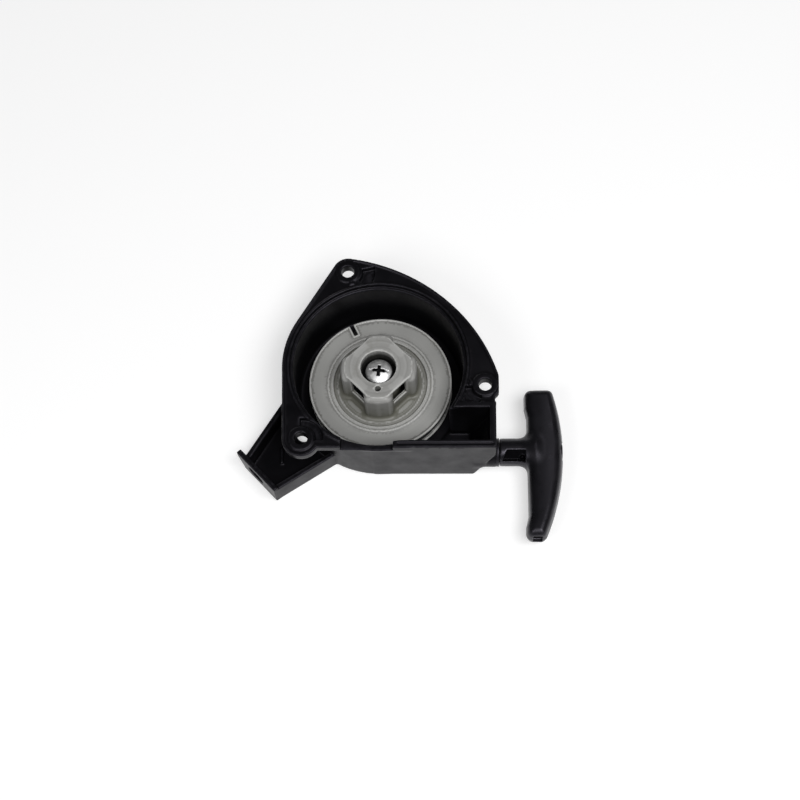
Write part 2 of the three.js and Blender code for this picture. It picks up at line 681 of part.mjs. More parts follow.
place('handle_grip', gripSolid(), HANDLE_PLASTIC);
place('handle_cap', discAlongX(CAP.r, ...CAP.x, 28), HANDLE_PLASTIC);

export default starter;
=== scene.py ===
# Recoil starter: the visual model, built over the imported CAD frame.
# Lengths in this script are millimetres in the part's own frame. They become metres where a mesh or a
# material is made.
import math

import bmesh
import bpy
import numpy as np
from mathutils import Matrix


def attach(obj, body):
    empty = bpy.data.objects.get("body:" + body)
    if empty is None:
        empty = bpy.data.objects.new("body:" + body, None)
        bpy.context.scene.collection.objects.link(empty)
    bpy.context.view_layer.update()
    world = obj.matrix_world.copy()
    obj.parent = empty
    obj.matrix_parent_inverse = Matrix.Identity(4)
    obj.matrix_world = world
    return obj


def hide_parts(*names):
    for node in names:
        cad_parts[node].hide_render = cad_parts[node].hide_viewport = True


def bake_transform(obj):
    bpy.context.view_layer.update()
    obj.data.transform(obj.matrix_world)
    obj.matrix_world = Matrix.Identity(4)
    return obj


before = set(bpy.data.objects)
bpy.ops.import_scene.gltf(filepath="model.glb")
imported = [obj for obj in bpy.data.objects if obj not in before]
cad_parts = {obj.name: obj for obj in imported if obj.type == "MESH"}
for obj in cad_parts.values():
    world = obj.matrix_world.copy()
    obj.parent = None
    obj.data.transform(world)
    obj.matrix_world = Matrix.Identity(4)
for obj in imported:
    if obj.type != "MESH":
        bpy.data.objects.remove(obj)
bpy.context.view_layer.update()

import openvdb
from mathutils import Matrix, Vector

MM = 0.001

# ---------------------------------------------------------------- dimensions: the CAD's, and finer detail
# casing
DEPTH = 31.5
SHELL_R = 38.9
CAVITY_R = 36.6
REBATE_R = 38.1
REBATE_Z = 29.6
FLOOR = 2.2
FLANGE_R = 41.2
FLANGE_Z = 27.4
FLAT_Y = -38.8
FLAT_WALL = 3.4
SIDE_X = 50.3
SLOPE_RUN, SLOPE_TOP = 9.3, 22
POCKET_TOP = -20.6
WALL = 2.4
LOW_RIM_X = (-15, 7)
LOW_RIM_DROP = 3
HOLE_CIRCLE_R = 46.9
HOLE_R = 2.8
HOLE_ANGLES = (107.6, 227.6, 347.6)
BOSS_R = (6.7, 8, 6.7)
SIDE_ARC_OFFSET = 38.5
TRIM_X = -14
# casing: the arm, in places along and across its own axis
ARM_ANGLE = 223.8
ARM_ROOT = 28
ARM_RIGHT = (13.1, 6.2)  # across the arm, at its root and at its plate
ARM_LEFT = (-25.8, -15.1)
ARM_TRAY_TOP = 11
ARM_WALL = 2.2
ARM_RIB = ((50.2, -9.9), (54.9, -4.6))
ARM_RIB_HALF, ARM_RIB_Z = 0.55, (1, 3.2)
ARM_PLATE_FACE = 67.4
ARM_PLATE = 2.3
ARM_PLATE_TOP = 12.4
ARM_TAB = (-18.7, 9)
ARM_SLOT, ARM_SLOT_HALF, ARM_SLOT_R = (-6.8, 6.6), 1.7, 2.9
# casing: the flange's face and what stands inside
SHOULDER = ((36, -19), (49.9, -10))  # the flange's square part at the rope's corner
COLLAR_R = HOLE_R + 2.6
COLLAR_DROP = 0.9
LIP_WIDTH, LIP_HEIGHT = 1.15, 0.55
RIM_LINE_DEPTH = 0.5
BOSS_POCKET_FLOOR = FLANGE_Z + 1.2
RELIEF_R = 3.4
RELIEF_FOOT = (-33.9, -19.5)
RELIEF_WALL, RELIEF_WALL_TOP, RELIEF_WALL_INSIDE_R = 1.6, 14, 32.3
OUTLET_R, OUTLET_X = 6.2, 41
GUIDE_BORE_R, GUIDE_BORE_X = 4.5, 40
POST_R, POST_TOP = 3.9, 19.4
PILOT_R, PILOT_FLOOR = 2.5, 6
# rope
ROPE_R = 1.3
ROPE_Y, ROPE_Z = -32.6, 10
# reel and its hub
RIM_R, RIM_Z = 31.4, 11.5
REEL_BASE_Z = 2.9
REEL_PLATE = 1.25
DRUM_R = (18.2, 22)
DISH_R, DISH_Z = 20.6, 10.4
WEB_R, WEB_Z = (7.9, 21.5), (9.2, 10.4)
BEAD_R = (22.6, 23.3)
HUB_R, HUB_TOP = 16.5, 27.8
HUB_FOOT = 6
HUB_WALL = 1.5
HUB_CHORD = 13
HUB_CORE_R = 14.4
HUB_ARM_HALF = 6.1
TUBE_R = 8.9
REEL_BORE_R = 5.9
RECESS_R, RECESS_FLOOR = 7.7, 20
DIMPLE_R, DIMPLE_PLACE, DIMPLE_DEPTH = 1.3, (0, -10.2), 2.5
WINDOW_HALF, WINDOW_FROM, WINDOW_Z = 4.0, 9.9, (16.2, 26.8)
NOTCH_ANGLE = 115.6
NOTCH_R, NOTCH_HALF = 26, 0.9
NOTCH_BORDER_R, NOTCH_BORDER_HALF = 25.2, 1.7
# centre screw
SCREW_HEAD_R = 5.9
SCREW_HEAD_Z = (21.9, 24.6)
SCREW_TIP = 7
DOME_R = 11.5  # the crown of the screw's head
SHANK_R = 2.2
THREAD_TOP, THREAD_PITCH, THREAD_DEPTH = 19, 0.8, 0.28
# a cut in the screw's head: its turn, reach, half width and depth
SCREW_CUTS = ((-6.5, 9.0, 0.5, 0.9), (-6.5, 2.7, 0.75, 1.9), (83.5, 2.7, 0.75, 1.9))
# handle
STEM_R = 6
STEM_X = 51.9
BAR_INNER_X = 63.3
BAR_ARC_R = 98
BAR_OUTER_X = 79.2
BAR_Y = (-72.6, -4.4)
BAR_HALF_H = 6.2
BAR_CORNER = 3.0
BAR_HOOK = 0.75
BAR_DRAFT = 0.18
BAR_EDGE_ROUNDING = 2.9
BAR_MIDDLE_X, BAR_CROWN, BAR_CROWN_REACH = 71.6, 0.7, 8
STEM_FILLET = 4.6
GROOVE_TURN = 36.5
GROOVE_X, GROOVE_HALF, GROOVE_FLOOR = (54.0, 62.9), 2.55, 2.75
GROOVE_SLANT, GROOVE_SLANT_END = 0.42, 59
END_RECESS_X, END_RECESS_HALF, END_RECESS_DEPTH = (65.5, 69.4), 3.4, 2.6
SEAM_HALF = 0.12
STEM_BORE_R = 1.9
KNOT_POCKET_R, KNOT_POCKET_X = 4.15, 71

OPEN = 9  # how far a cut runs out past the part


def polar(r, degrees, centre=(0, 0)):
    a = math.radians(degrees)
    return (centre[0] + r * math.cos(a), centre[1] + r * math.sin(a))


# ---------------------------------------------------------------- solids as distance fields
FIELD_LIMIT = 2.0  # distances beyond this are not told apart
EDGE_REACH = 2  # steps over which a surface's bend is measured
EDGE_LIMIT = 2.0


class Grid:
    """A box of sample points. x, y and z broadcast against each other."""

    def __init__(self, low, high, step):
        self.step = step
        self.low = np.array(low, np.float32) - 3 * step
        counts = [int((b - a) / step) + 7 for a, b in zip(low, high)]
        axes = [self.low[i] + step * np.arange(counts[i], dtype=np.float32) for i in range(3)]
        self.x = axes[0][:, None, None]
        self.y = axes[1][None, :, None]
        self.z = axes[2][None, None, :]
        self.shape = tuple(counts)


def join(a, b, fillet=0.0):
    if fillet <= 0:
        return np.minimum(a, b)
    h = np.clip(0.5 + 0.5 * (b - a) / fillet, 0, 1)
    return b + (a - b) * h - fillet * h * (1 - h)


def keep(a, b, fillet=0.0):
    return -join(-a, -b, fillet)


def cut(a, b, fillet=0.0):
    return keep(a, -b, fillet)


def circle(g, r, centre=(0, 0)):
    return np.hypot(g.x - centre[0], g.y - centre[1]) - r


def rectangle(u, v, low, high):
    du = np.abs(u - (low[0] + high[0]) / 2) - (high[0] - low[0]) / 2
    dv = np.abs(v - (low[1] + high[1]) / 2) - (high[1] - low[1]) / 2
    return np.minimum(np.maximum(du, dv), 0) + np.hypot(np.maximum(du, 0), np.maximum(dv, 0))


def polygon(u, v, points):
    """Signed distance to a closed polygon."""
    best = np.full(np.broadcast(u, v).shape, 1e9, np.float32)
    inside = np.zeros(best.shape, bool)
    for (x0, y0), (x1, y1) in zip(points, points[1:] + points[:1]):
        ex, ey = x1 - x0, y1 - y0
        wx, wy = u - x0, v - y0
        t = np.clip((wx * ex + wy * ey) / (ex * ex + ey * ey), 0, 1)
        best = np.minimum(best, (wx - ex * t) ** 2 + (wy - ey * t) ** 2)
        crosses = (v >= min(y0, y1)) & (v < max(y0, y1))
        if ey != 0:
            inside ^= crosses & (u < x0 + (v - y0) * ex / ey)
    return np.where(inside, -1, 1) * np.sqrt(best)


def between(coordinate, low, high):
    return np.abs(coordinate - (low + high) / 2) - (high - low) / 2


def extrude(flat, band, rounding=0.0):
    """A flat field given thickness by a band along the third axis, with rounded edges."""
    a = flat + rounding
    b = band + rounding
    return np.minimum(np.maximum(a, b), 0) + np.hypot(np.maximum(a, 0), np.maximum(b, 0)) - rounding


def turned_axes(g, degrees):
    """The coordinates along and across a direction in the plan."""
    a = math.radians(degrees)
    return g.x * math.cos(a) + g.y * math.sin(a), -g.x * math.sin(a) + g.y * math.cos(a)


def rod(g, start, end, r):
    """A long round rod through two points, without ends."""
    p = np.array(start, float)
    axis = np.array(end, float) - p
    axis /= np.linalg.norm(axis)
    offset = (g.x - p[0], g.y - p[1], g.z - p[2])
    along = sum(d * a for d, a in zip(offset, axis))
    aside = sum((d - along * a) ** 2 for d, a in zip(offset, axis))
    return np.sqrt(np.maximum(aside, 0)) - r


def mesh_object(name, points, faces):
    mesh = bpy.data.meshes.new(name)
    mesh.from_pydata([tuple(p) for p in points], [], [tuple(f) for f in faces])
    mesh.update()
    thing = bpy.data.objects.new(name, mesh)
    bpy.context.scene.collection.objects.link(thing)
    return thing


def surface(name, g, field, triangles):
    """The field's zero surface as a smooth-shaded object, thinned to about so many triangles."""
    field = np.broadcast_to(field, g.shape)
    volume = openvdb.FloatGrid(background=FIELD_LIMIT)
    volume.copyFromArray(np.ascontiguousarray(np.clip(field, -FIELD_LIMIT, FIELD_LIMIT), dtype=np.float32))
    points, _, quads = volume.convertToPolygons(isovalue=0.0, adaptivity=0.0)
    points = (points * g.step + g.low) * MM
    mesh = bpy.data.meshes.new(name)
    mesh.vertices.add(len(points))
    mesh.vertices.foreach_set("co", points.astype(np.float32).ravel())
    mesh.loops.add(4 * len(quads))
    mesh.loops.foreach_set("vertex_index", quads.astype(np.int32).ravel())
    mesh.polygons.add(len(quads))
    mesh.polygons.foreach_set("loop_start", np.arange(0, 4 * len(quads), 4, dtype=np.int32))
    mesh.update(calc_edges=True)
    mesh.validate()
    thing = bpy.data.objects.new(name, mesh)
    bpy.context.scene.collection.objects.link(thing)
    if 2 * len(quads) > triangles:
        thin = thing.modifiers.new("thin", "DECIMATE")
        thin.ratio = triangles / (2 * len(quads))
    bake_modifiers(thing)
    mark_edges(thing, g, field)
    shade(thing)
    return thing


def bake_modifiers(thing):
    graph = bpy.context.evaluated_depsgraph_get()
    done = bpy.data.meshes.new_from_object(thing.evaluated_get(graph))
    thing.modifiers.clear()
    old = thing.data
    thing.data = done
    bpy.data.meshes.remove(old)
    done.name = thing.name


def shade(thing):
    thing.data.polygons.foreach_set("use_smooth", [True] * len(thing.data.polygons))
    thing.data.update()


def mark_edges(thing, g, field):
    """Stores on each point how convex the surface is there, for wear, painted highlights on edges and painted
    shade in hollows.
    """
    count = len(thing.data.vertices)
    co = np.empty(3 * count, np.float32)
    thing.data.vertices.foreach_get("co", co)
    at = np.rint((co.reshape(-1, 3) / MM - g.low) / g.step).astype(int)
    at = np.clip(at, EDGE_REACH, np.array(g.shape) - EDGE_REACH - 1)
    i, j, k = at.T
    total = -6 * field[i, j, k]
    for axis in range(3):
        for way in (-EDGE_REACH, EDGE_REACH):
            moved = [i, j, k]
            moved[axis] = moved[axis] + way
            total = total + field[tuple(moved)]
    curve = total / (EDGE_REACH * g.step) ** 2
    attribute = thing.data.attributes.new("edge", "FLOAT", "POINT")
    attribute.data.foreach_set("value", np.clip(curve, -EDGE_LIMIT, EDGE_LIMIT).astype(np.float32))


# ---------------------------------------------------------------- casing
bosses = [polar(HOLE_CIRCLE_R, a) for a in HOLE_ANGLES]
top_boss, arm_boss, side_boss = bosses
# a pocket round a boss: its centre, its two radii, and the angles where it starts and ends
BOSS_POCKETS = ((arm_boss, 6, 9.4, -5, 95), (side_boss, 5.6, 8.6, 185, 255), (top_boss, 6.4, 12, -40, 12))
TOP_EDGE_TURN = 150
SIDE_ARC_STEPS = 24
CASING_BOX = ((-62.5, -54, 0), (50.5, 52, DEPTH))


def flange_outline(g):
    flat = circle(g, FLANGE_R)
    for centre, r in zip(bosses, BOSS_R):
        flat = join(flat, circle(g, r, centre))
    mirrored = 2 * (HOLE_ANGLES[0] + 60) - TOP_EDGE_TURN
    for direction, centre, r in ((TOP_EDGE_TURN, top_boss, BOSS_R[0]), (mirrored, arm_boss, BOSS_R[1])):
        edge = [(0, 0), centre, polar(r, direction, centre), polar(FLANGE_R, direction)]
        flat = join(flat, polygon(g.x, g.y, edge))
    middle = polar(SIDE_ARC_OFFSET, HOLE_ANGLES[1])
    start = math.degrees(math.atan2(side_boss[1] - middle[1], side_boss[0] - middle[0]))
    end = math.degrees(math.atan2(top_boss[1] - middle[1], top_boss[0] - middle[0]))
    r = math.dist(middle, top_boss) + BOSS_R[0]
    arc = [polar(r, start + (end - start) * i / SIDE_ARC_STEPS, middle) for i in range(SIDE_ARC_STEPS + 1)]
    flat = join(flat, polygon(g.x, g.y, [(0, 0), side_boss] + arc + [top_boss]))
    flat = join(flat, polygon(g.x, g.y, [(0, 0), arm_boss, (arm_boss[0], FLAT_Y), (-10, FLAT_Y)]))
    flat = join(flat, rectangle(g.x, g.y, *SHOULDER), 0.6)
    return np.maximum(flat, np.minimum(FLAT_Y - g.y, g.x - TRIM_X))


def corner_block(g, inset, low_y, high_y, low_z, rounding):
    """The square corner that the rope runs through, cut back by a slope at its outer end."""
    plan = rectangle(g.x, g.y, (-2, low_y), (SIDE_X - inset, high_y))
    block = extrude(plan, between(g.z, low_z, DEPTH + 5), rounding)
    length = math.hypot(SLOPE_RUN, SLOPE_TOP)
    plane = ((g.x - SIDE_X) * SLOPE_TOP - (g.z - SLOPE_TOP) * SLOPE_RUN) / length + inset
    return keep(block, plane, rounding)


def sector(g, centre, r0, r1, start, end):
    """A curved pocket between two radii and two angles round a boss."""
    dx, dy = g.x - centre[0], g.y - centre[1]
    r = np.hypot(dx, dy)
    middle = math.radians((start + end) / 2)
    half = math.radians((end - start) / 2)
    across = dy * math.cos(middle) - dx * math.sin(middle)
    turn = np.arctan2(across, dx * math.cos(middle) + dy * math.sin(middle))
    return np.maximum(np.abs(r - (r0 + r1) / 2) - (r1 - r0) / 2, (np.abs(turn) - half) * r)


def arm_outline(inset, reach):
    return [(ARM_ROOT, ARM_RIGHT[0] - inset), (reach, ARM_RIGHT[1] - inset),
            (reach, ARM_LEFT[1] + inset), (ARM_ROOT, ARM_LEFT[0] + inset)]


def arm_rib(g, u, v):
    """The low rib on the floor of the arm's tray."""
    start, end = ARM_RIB
    way = math.atan2(end[1] - start[1], end[0] - start[0])
    along = (u - start[0]) * math.cos(way) + (v - start[1]) * math.sin(way)
    aside = -(u - start[0]) * math.sin(way) + (v - start[1]) * math.cos(way)
    plan = rectangle(along, aside, (0, -ARM_RIB_HALF), (math.dist(*ARM_RIB), ARM_RIB_HALF))
    return extrude(plan, between(g.z, *ARM_RIB_Z), 0.3)


def build_arm(g):
    """The arm: a tray open to the top, with an upright slotted plate at its end."""
    u, v = turned_axes(g, ARM_ANGLE)
    end = ARM_PLATE_FACE - ARM_PLATE
    tray = extrude(polygon(u, v, arm_outline(0, end + 1)), between(g.z, 0, ARM_TRAY_TOP), 0.45)
    hollow = extrude(polygon(u, v, arm_outline(ARM_WALL, end)), between(g.z, FLOOR, ARM_TRAY_TOP + OPEN), 0.8)
    tray = cut(tray, hollow, 0.4)
    face = polygon(v, g.z, [(ARM_RIGHT[1], 0), (ARM_RIGHT[1], ARM_PLATE_TOP), (ARM_TAB[0], ARM_PLATE_TOP),
                            ARM_TAB, (ARM_LEFT[1], 0)])
    plate = extrude(face, between(u, end, ARM_PLATE_FACE), 0.45)
    arm = join(tray, plate, 0.5)
    arm = join(arm, arm_rib(g, u, v), 0.8)
    slot_across = np.maximum(np.abs(v - ARM_SLOT[0]) - ARM_SLOT_HALF, 0)
    slot = np.hypot(slot_across, g.z - ARM_SLOT[1]) - ARM_SLOT_R
    return cut(arm, np.maximum(slot, between(u, end - 2, ARM_PLATE_FACE + 2)), 0.35)


def casing_outside(g, outline):
    """The round shell with the rope's square corner, the arm, the flange and the collars round its holes."""
    shell = extrude(circle(g, SHELL_R), between(g.z, 0, DEPTH), 1.2)
    shell = join(shell, corner_block(g, 0, FLAT_Y, POCKET_TOP + WALL, 0, 0.9), 0.5)
    shell = np.maximum(shell, g.z - DEPTH)
    body = join(shell, build_arm(g), 1.0)
    flange = extrude(outline, between(g.z, FLANGE_Z, DEPTH), 0.45)
    body = join(body, flange, 0.9)
    for centre in bosses:
        collar = extrude(circle(g, COLLAR_R, centre), between(g.z, FLANGE_Z - COLLAR_DROP, DEPTH), 0.4)
        body = join(body, collar, 0.8)
    return body


def casing_hollows(g, body):
    """The reel's room, the rebate round its mouth, the corner's pocket and the lowered rim."""
    inside_y = FLAT_Y + FLAT_WALL
    cavity = extrude(circle(g, CAVITY_R), between(g.z, FLOOR, DEPTH + OPEN), 1.6)
    body = cut(body, cavity, 0.5)
    rebate = extrude(circle(g, REBATE_R), between(g.z, REBATE_Z, DEPTH + OPEN), 0.3)
    body = cut(body, np.maximum(rebate, inside_y - g.y), 0.4)
    body = cut(body, corner_block(g, WALL + 0.3, inside_y, POCKET_TOP, 3, 0.8), 0.5)
    low = rectangle(g.x, g.y, (LOW_RIM_X[0], FLAT_Y - 6), (LOW_RIM_X[1], inside_y + 6))
    return cut(body, extrude(low, between(g.z, DEPTH - LOW_RIM_DROP, DEPTH + OPEN), 0.3), 0.4)


def flange_face(g, body, outline):
    """The flange's face, sunk between a fine lip and the three bosses, with pockets by the bosses."""
    sunk = np.maximum(outline + LIP_WIDTH, REBATE_R + 1.1 - np.hypot(g.x, g.y))
    sunk = np.maximum(sunk, -rectangle(g.x, g.y, (0, -60), (70, -17.6)))
    for centre in bosses:
        sunk = np.maximum(sunk, -circle(g, COLLAR_R, centre))
    body = cut(body, np.maximum(sunk, DEPTH - LIP_HEIGHT - g.z), 0.3)
    rim_line = rectangle(g.x, g.y, (LOW_RIM_X[1] + 2, FLAT_Y + 1.1), (SIDE_X - 1.2, FLAT_Y + 2.2))
    body = cut(body, np.maximum(rim_line, DEPTH - RIM_LINE_DEPTH - g.z), 0.3)
    for centre, r0, r1, start, end in BOSS_POCKETS:
        pocket = np.maximum(sector(g, centre, r0, r1, start, end), BOSS_POCKET_FLOOR - g.z)
        if centre == top_boss:
            pocket = np.maximum(pocket, -circle(g, REBATE_R + 1.3))
        body = cut(body, pocket, 0.5)
    return body


def casing_inside(g, body):
    """The slanting relief channel with the wall behind it, the rope outlet's boss and the centre post."""
    relief_top = (arm_boss[0], arm_boss[1], DEPTH)
    relief_foot = (RELIEF_FOOT[0], RELIEF_FOOT[1], 0)
    backing = rod(g, relief_top, relief_foot, RELIEF_R + RELIEF_WALL)
    backing = keep(backing, extrude(circle(g, SHELL_R - 1.5), between(g.z, 0, RELIEF_WALL_TOP), 0.5), 0.5)
    backing = cut(backing, circle(g, RELIEF_WALL_INSIDE_R))
    body = join(body, backing, 0.8)
    outlet = np.maximum(np.hypot(g.y - ROPE_Y, g.z - ROPE_Z) - OUTLET_R, between(g.x, OUTLET_X, SIDE_X))
    body = join(body, outlet, 0.9)
    body = join(body, extrude(circle(g, POST_R), between(g.z, 0, POST_TOP), 0.4), 1.0)
    return cut(body, np.maximum(rod(g, relief_top, relief_foot, RELIEF_R), g.z - FLANGE_Z + 1), 0.4)


def casing_bores(g, body):
    """The three mounting holes, the guide's bore and the pilot hole for the centre screw."""
    for centre in bosses:
        body = cut(body, np.maximum(circle(g, HOLE_R, centre), FLANGE_Z - 2 - g.z), 0.5)
    guide_bore = np.hypot(g.y - ROPE_Y, g.z - ROPE_Z) - GUIDE_BORE_R
    body = cut(body, np.maximum(guide_bore, between(g.x, GUIDE_BORE_X, SIDE_X + 2)), 0.3)
    return cut(body, np.maximum(circle(g, PILOT_R), PILOT_FLOOR - g.z), 0.2)


def casing():
    g = Grid(*CASING_BOX, step=0.4)
    outline = flange_outline(g)
    body = casing_outside(g, outline)
    body = casing_hollows(g, body)
    body = flange_face(g, body, outline)
    body = casing_inside(g, body)
    body = casing_bores(g, body)
    body = np.maximum(body, np.maximum(g.z - DEPTH, -g.z))
    return surface("casing_shell", g, body, triangles=190000)


# ---------------------------------------------------------------- reel
def hub_arms(g, shrink):
    """Four arms with flat-bottomed pockets between them, seen along the axis."""
    half = HUB_ARM_HALF - shrink
    a, b = np.abs(g.x), np.abs(g.y)
    return keep(circle(g, HUB_R - shrink), np.minimum(a, b) - half, 2.0)


def hub_core(g, shrink):
    """The middle of the hub, bounded by the flat bottoms of the four pockets."""
    chord = (np.abs(g.x) + np.abs(g.y)) / math.sqrt(2) - (HUB_CHORD - shrink)
    return np.maximum(circle(g, HUB_CORE_R - shrink), chord)


def reel_drum(g, r):
    """Two flanges with the rope's groove between them, the dished web and the raised rim."""
    upper = extrude(between(r, 17, RIM_R), between(g.z, RIM_Z - REEL_PLATE, RIM_Z - 0.35), 0.3)
    lower = extrude(between(r, DRUM_R[0], RIM_R), between(g.z, REEL_BASE_Z, REEL_BASE_Z + REEL_PLATE), 0.3)
    core = extrude(between(r, *DRUM_R), between(g.z, REEL_BASE_Z, RIM_Z - 0.4), 0.3)
    lip = extrude(between(r, RIM_R - 0.9, RIM_R), between(g.z, RIM_Z - 1.2, RIM_Z), 0.32)
    web = extrude(between(r, *WEB_R), between(g.z, *WEB_Z), 0.2)
    drum = join(join(join(upper, core, 0.4), lower, 0.4), web, 0.3)
    drum = join(drum, lip, 0.25)
    drum = cut(drum, np.maximum(r - DISH_R, DISH_Z - g.z), 0.5)
    bead = extrude(between(r, *BEAD_R), between(g.z, RIM_Z - 0.6, RIM_Z - 0.12), 0.15)
    return join(drum, bead, 0.35)


def reel_hub(g, drum):
    """The hollow hub on the drum, with the screw's tube in it and a pawl window in each pocket's floor."""
    outer = join(extrude(hub_arms(g, 0), between(g.z, HUB_FOOT, HUB_TOP), 2.6),
                 extrude(hub_core(g, 0), between(g.z, HUB_FOOT, HUB_TOP), 0.6), 0.7)
    hub = join(drum, np.maximum(outer, WEB_Z[0] - g.z), 1.8)
    inside = np.minimum(hub_arms(g, HUB_WALL), hub_core(g, HUB_WALL))
    hollow = extrude(inside, between(g.z, REEL_BASE_Z - OPEN, HUB_TOP - HUB_WALL), 0.6)
    hub = cut(hub, hollow, 0.3)
    tube = extrude(circle(g, TUBE_R), between(g.z, REEL_BASE_Z + 0.5, HUB_TOP - 0.05), 0.3)
    hub = join(hub, tube, 0.6)
    diagonal = (np.abs(g.x) + np.abs(g.y)) / math.sqrt(2)
    side = (np.abs(g.x) - np.abs(g.y)) / math.sqrt(2)
    window = extrude(np.abs(side) - WINDOW_HALF, between(g.z, *WINDOW_Z), 0.4)
    hub = cut(hub, np.maximum(window, WINDOW_FROM - diagonal), 0.35)
    hub = cut(hub, circle(g, REEL_BORE_R), 0.3)
    hub = cut(hub, np.maximum(circle(g, RECESS_R), RECESS_FLOOR - g.z), 0.5)
    return cut(hub, np.maximum(circle(g, DIMPLE_R, DIMPLE_PLACE), HUB_TOP - DIMPLE_DEPTH - g.z), 0.25)


def rim_notch(g, body):
    """The slot in the upper flange that the rope is laid in to wind the spring, with its raised border."""
    along, across = turned_axes(g, NOTCH_ANGLE)
    border = rectangle(along, across, (NOTCH_BORDER_R, -NOTCH_BORDER_HALF), (RIM_R - 0.4, NOTCH_BORDER_HALF))
    body = join(body, extrude(border, between(g.z, RIM_Z - 1, RIM_Z), 0.3), 0.3)
    notch = rectangle(along, across, (NOTCH_R, -NOTCH_HALF), (RIM_R + 3, NOTCH_HALF))
    return cut(body, extrude(notch, between(g.z, 10.1, 14), 0.2), 0.3)


def reel():
    g = Grid((-RIM_R, -RIM_R, REEL_BASE_Z), (RIM_R, RIM_R, HUB_TOP), step=0.32)
    r = np.hypot(g.x, g.y)
    body = rim_notch(g, reel_hub(g, reel_drum(g, r)))
    body = np.maximum(body, np.maximum(r - RIM_R, np.maximum(g.z - HUB_TOP, REEL_BASE_Z - g.z)))
    return surface("rope_reel", g, body, triangles=190000)


# ---------------------------------------------------------------- handle
def bar_edge(y):
    return BAR_OUTER_X - BAR_ARC_R + math.sqrt(BAR_ARC_R ** 2 - (y - ROPE_Y) ** 2)


def bar_outline():
    """The bar's plan without its corner radius: an arc outside, and an inside that hooks in at both ends."""
    steps = 28
    near, far = BAR_Y[0] + BAR_CORNER, BAR_Y[1] - BAR_CORNER
    edge = []
    for i in range(steps + 1):
        y = near + (far - near) * i / steps
        edge.append((bar_edge(y) - BAR_CORNER - 0.1, y))
    inner = BAR_INNER_X + BAR_CORNER
    hooked = inner - BAR_HOOK
    return edge + [(hooked, far), (hooked, far - 5.5), (inner + 0.2, far - 10), (inner + 0.3, ROPE_Y),
                   (inner + 0.4, near + 7), (hooked, near + 2.2), (hooked, near)]


def stem_pocket(g, body, height):
    """The slanting pocket on the side of the stem, with a round nub on its floor."""
    turn = math.radians(GROOVE_TURN)
    out = -(g.y - ROPE_Y) * math.sin(turn) + height * math.cos(turn)
    side = (g.y - ROPE_Y) * math.cos(turn) + height * math.sin(turn)
    slant = g.x - GROOVE_SLANT * side * np.clip((GROOVE_SLANT_END - g.x) / 4, 0, 1)
    plan = rectangle(slant, side, (GROOVE_X[0], -GROOVE_HALF), (GROOVE_X[1], GROOVE_HALF))
    body = cut(body, extrude(plan, GROOVE_FLOOR - out, 0.5), 0.4)
    nub = np.sqrt((g.x - 61.6) ** 2 + (side + 1.3) ** 2 + (out - 2.7) ** 2) - 1.0
    return join(body, nub, 0.4)


def handle():
    low = (STEM_X, BAR_Y[0], ROPE_Z - BAR_HALF_H)
    high = (BAR_OUTER_X, BAR_Y[1], ROPE_Z + BAR_HALF_H)
    g = Grid(low, high, step=0.3)
    height = g.z - ROPE_Z
    plan = polygon(g.x, g.y, bar_outline()) - BAR_CORNER + BAR_DRAFT * np.abs(height)
    rise = np.clip((g.x - BAR_MIDDLE_X) / BAR_CROWN_REACH, -1, 1)
    crown = BAR_CROWN * rise ** 2
    bar = extrude(plan, np.abs(height) - BAR_HALF_H + crown, BAR_EDGE_ROUNDING)
    across = np.hypot(g.y - ROPE_Y, height)
    stem = extrude(across - STEM_R, between(g.x, STEM_X, BAR_INNER_X + 4), 0.7)
    body = join(bar, stem, STEM_FILLET)
    body = np.maximum(body, STEM_X - g.x)
    body = stem_pocket(g, body, height)
    recess = rectangle(g.x, height, (END_RECESS_X[0], -END_RECESS_HALF), (END_RECESS_X[1], END_RECESS_HALF))
    body = cut(body, extrude(recess, g.y - (BAR_Y[0] + END_RECESS_DEPTH), 0.6), 0.4)
    seam = np.maximum(np.abs(body) - SEAM_HALF, np.abs(height) - SEAM_HALF)
    body = cut(body, seam, 0.1)
    body = cut(body, np.maximum(across - STEM_BORE_R, g.x - 74), 0.4)
    body = cut(body, np.maximum(across - KNOT_POCKET_R, KNOT_POCKET_X - g.x), 0.2)
    body = np.maximum(body, np.maximum(np.maximum(BAR_Y[0] - g.y, g.y - BAR_Y[1]), g.x - BAR_OUTER_X))
    return surface("grip", g, body, triangles=150000)


# ---------------------------------------------------------------- screw and turned pieces
def screw():
    top = SCREW_HEAD_Z[1]
    g = Grid((-SCREW_HEAD_R, -SCREW_HEAD_R, SCREW_TIP), (SCREW_HEAD_R, SCREW_HEAD_R, top), step=0.13)
    r = np.hypot(g.x, g.y)
    dome = np.sqrt(r ** 2 + (g.z - (top - DOME_R)) ** 2) - DOME_R
    head = keep(extrude(r - SCREW_HEAD_R, between(g.z, SCREW_HEAD_Z[0], top + 3), 0.45), dome, 0.5)
    phase = (g.z / THREAD_PITCH - np.arctan2(g.y, g.x) / (2 * math.pi)) % 1
    thread = THREAD_DEPTH * (1 - np.abs(2 * phase - 1))
    shank = r - SHANK_R + np.where(g.z < THREAD_TOP, thread, 0.1)
    body = join(head, extrude(shank, between(g.z, SCREW_TIP, SCREW_HEAD_Z[0] + 0.5), 0.25), 0.3)
    taper = 0.25 * np.clip(top - g.z, 0, 3)
    for turn, reach, half, depth in SCREW_CUTS:
        along, across = turned_axes(g, turn)
        slot = np.maximum(np.abs(across) - half + 0.4 * taper, np.abs(along) - reach + taper)
        body = cut(body, np.maximum(slot, top - depth - g.z), 0.12)
    body = np.maximum(body, np.maximum(r - SCREW_HEAD_R, np.maximum(g.z - top, SCREW_TIP - g.z)))
    return surface("pan_head_screw", g, body, triangles=60000)


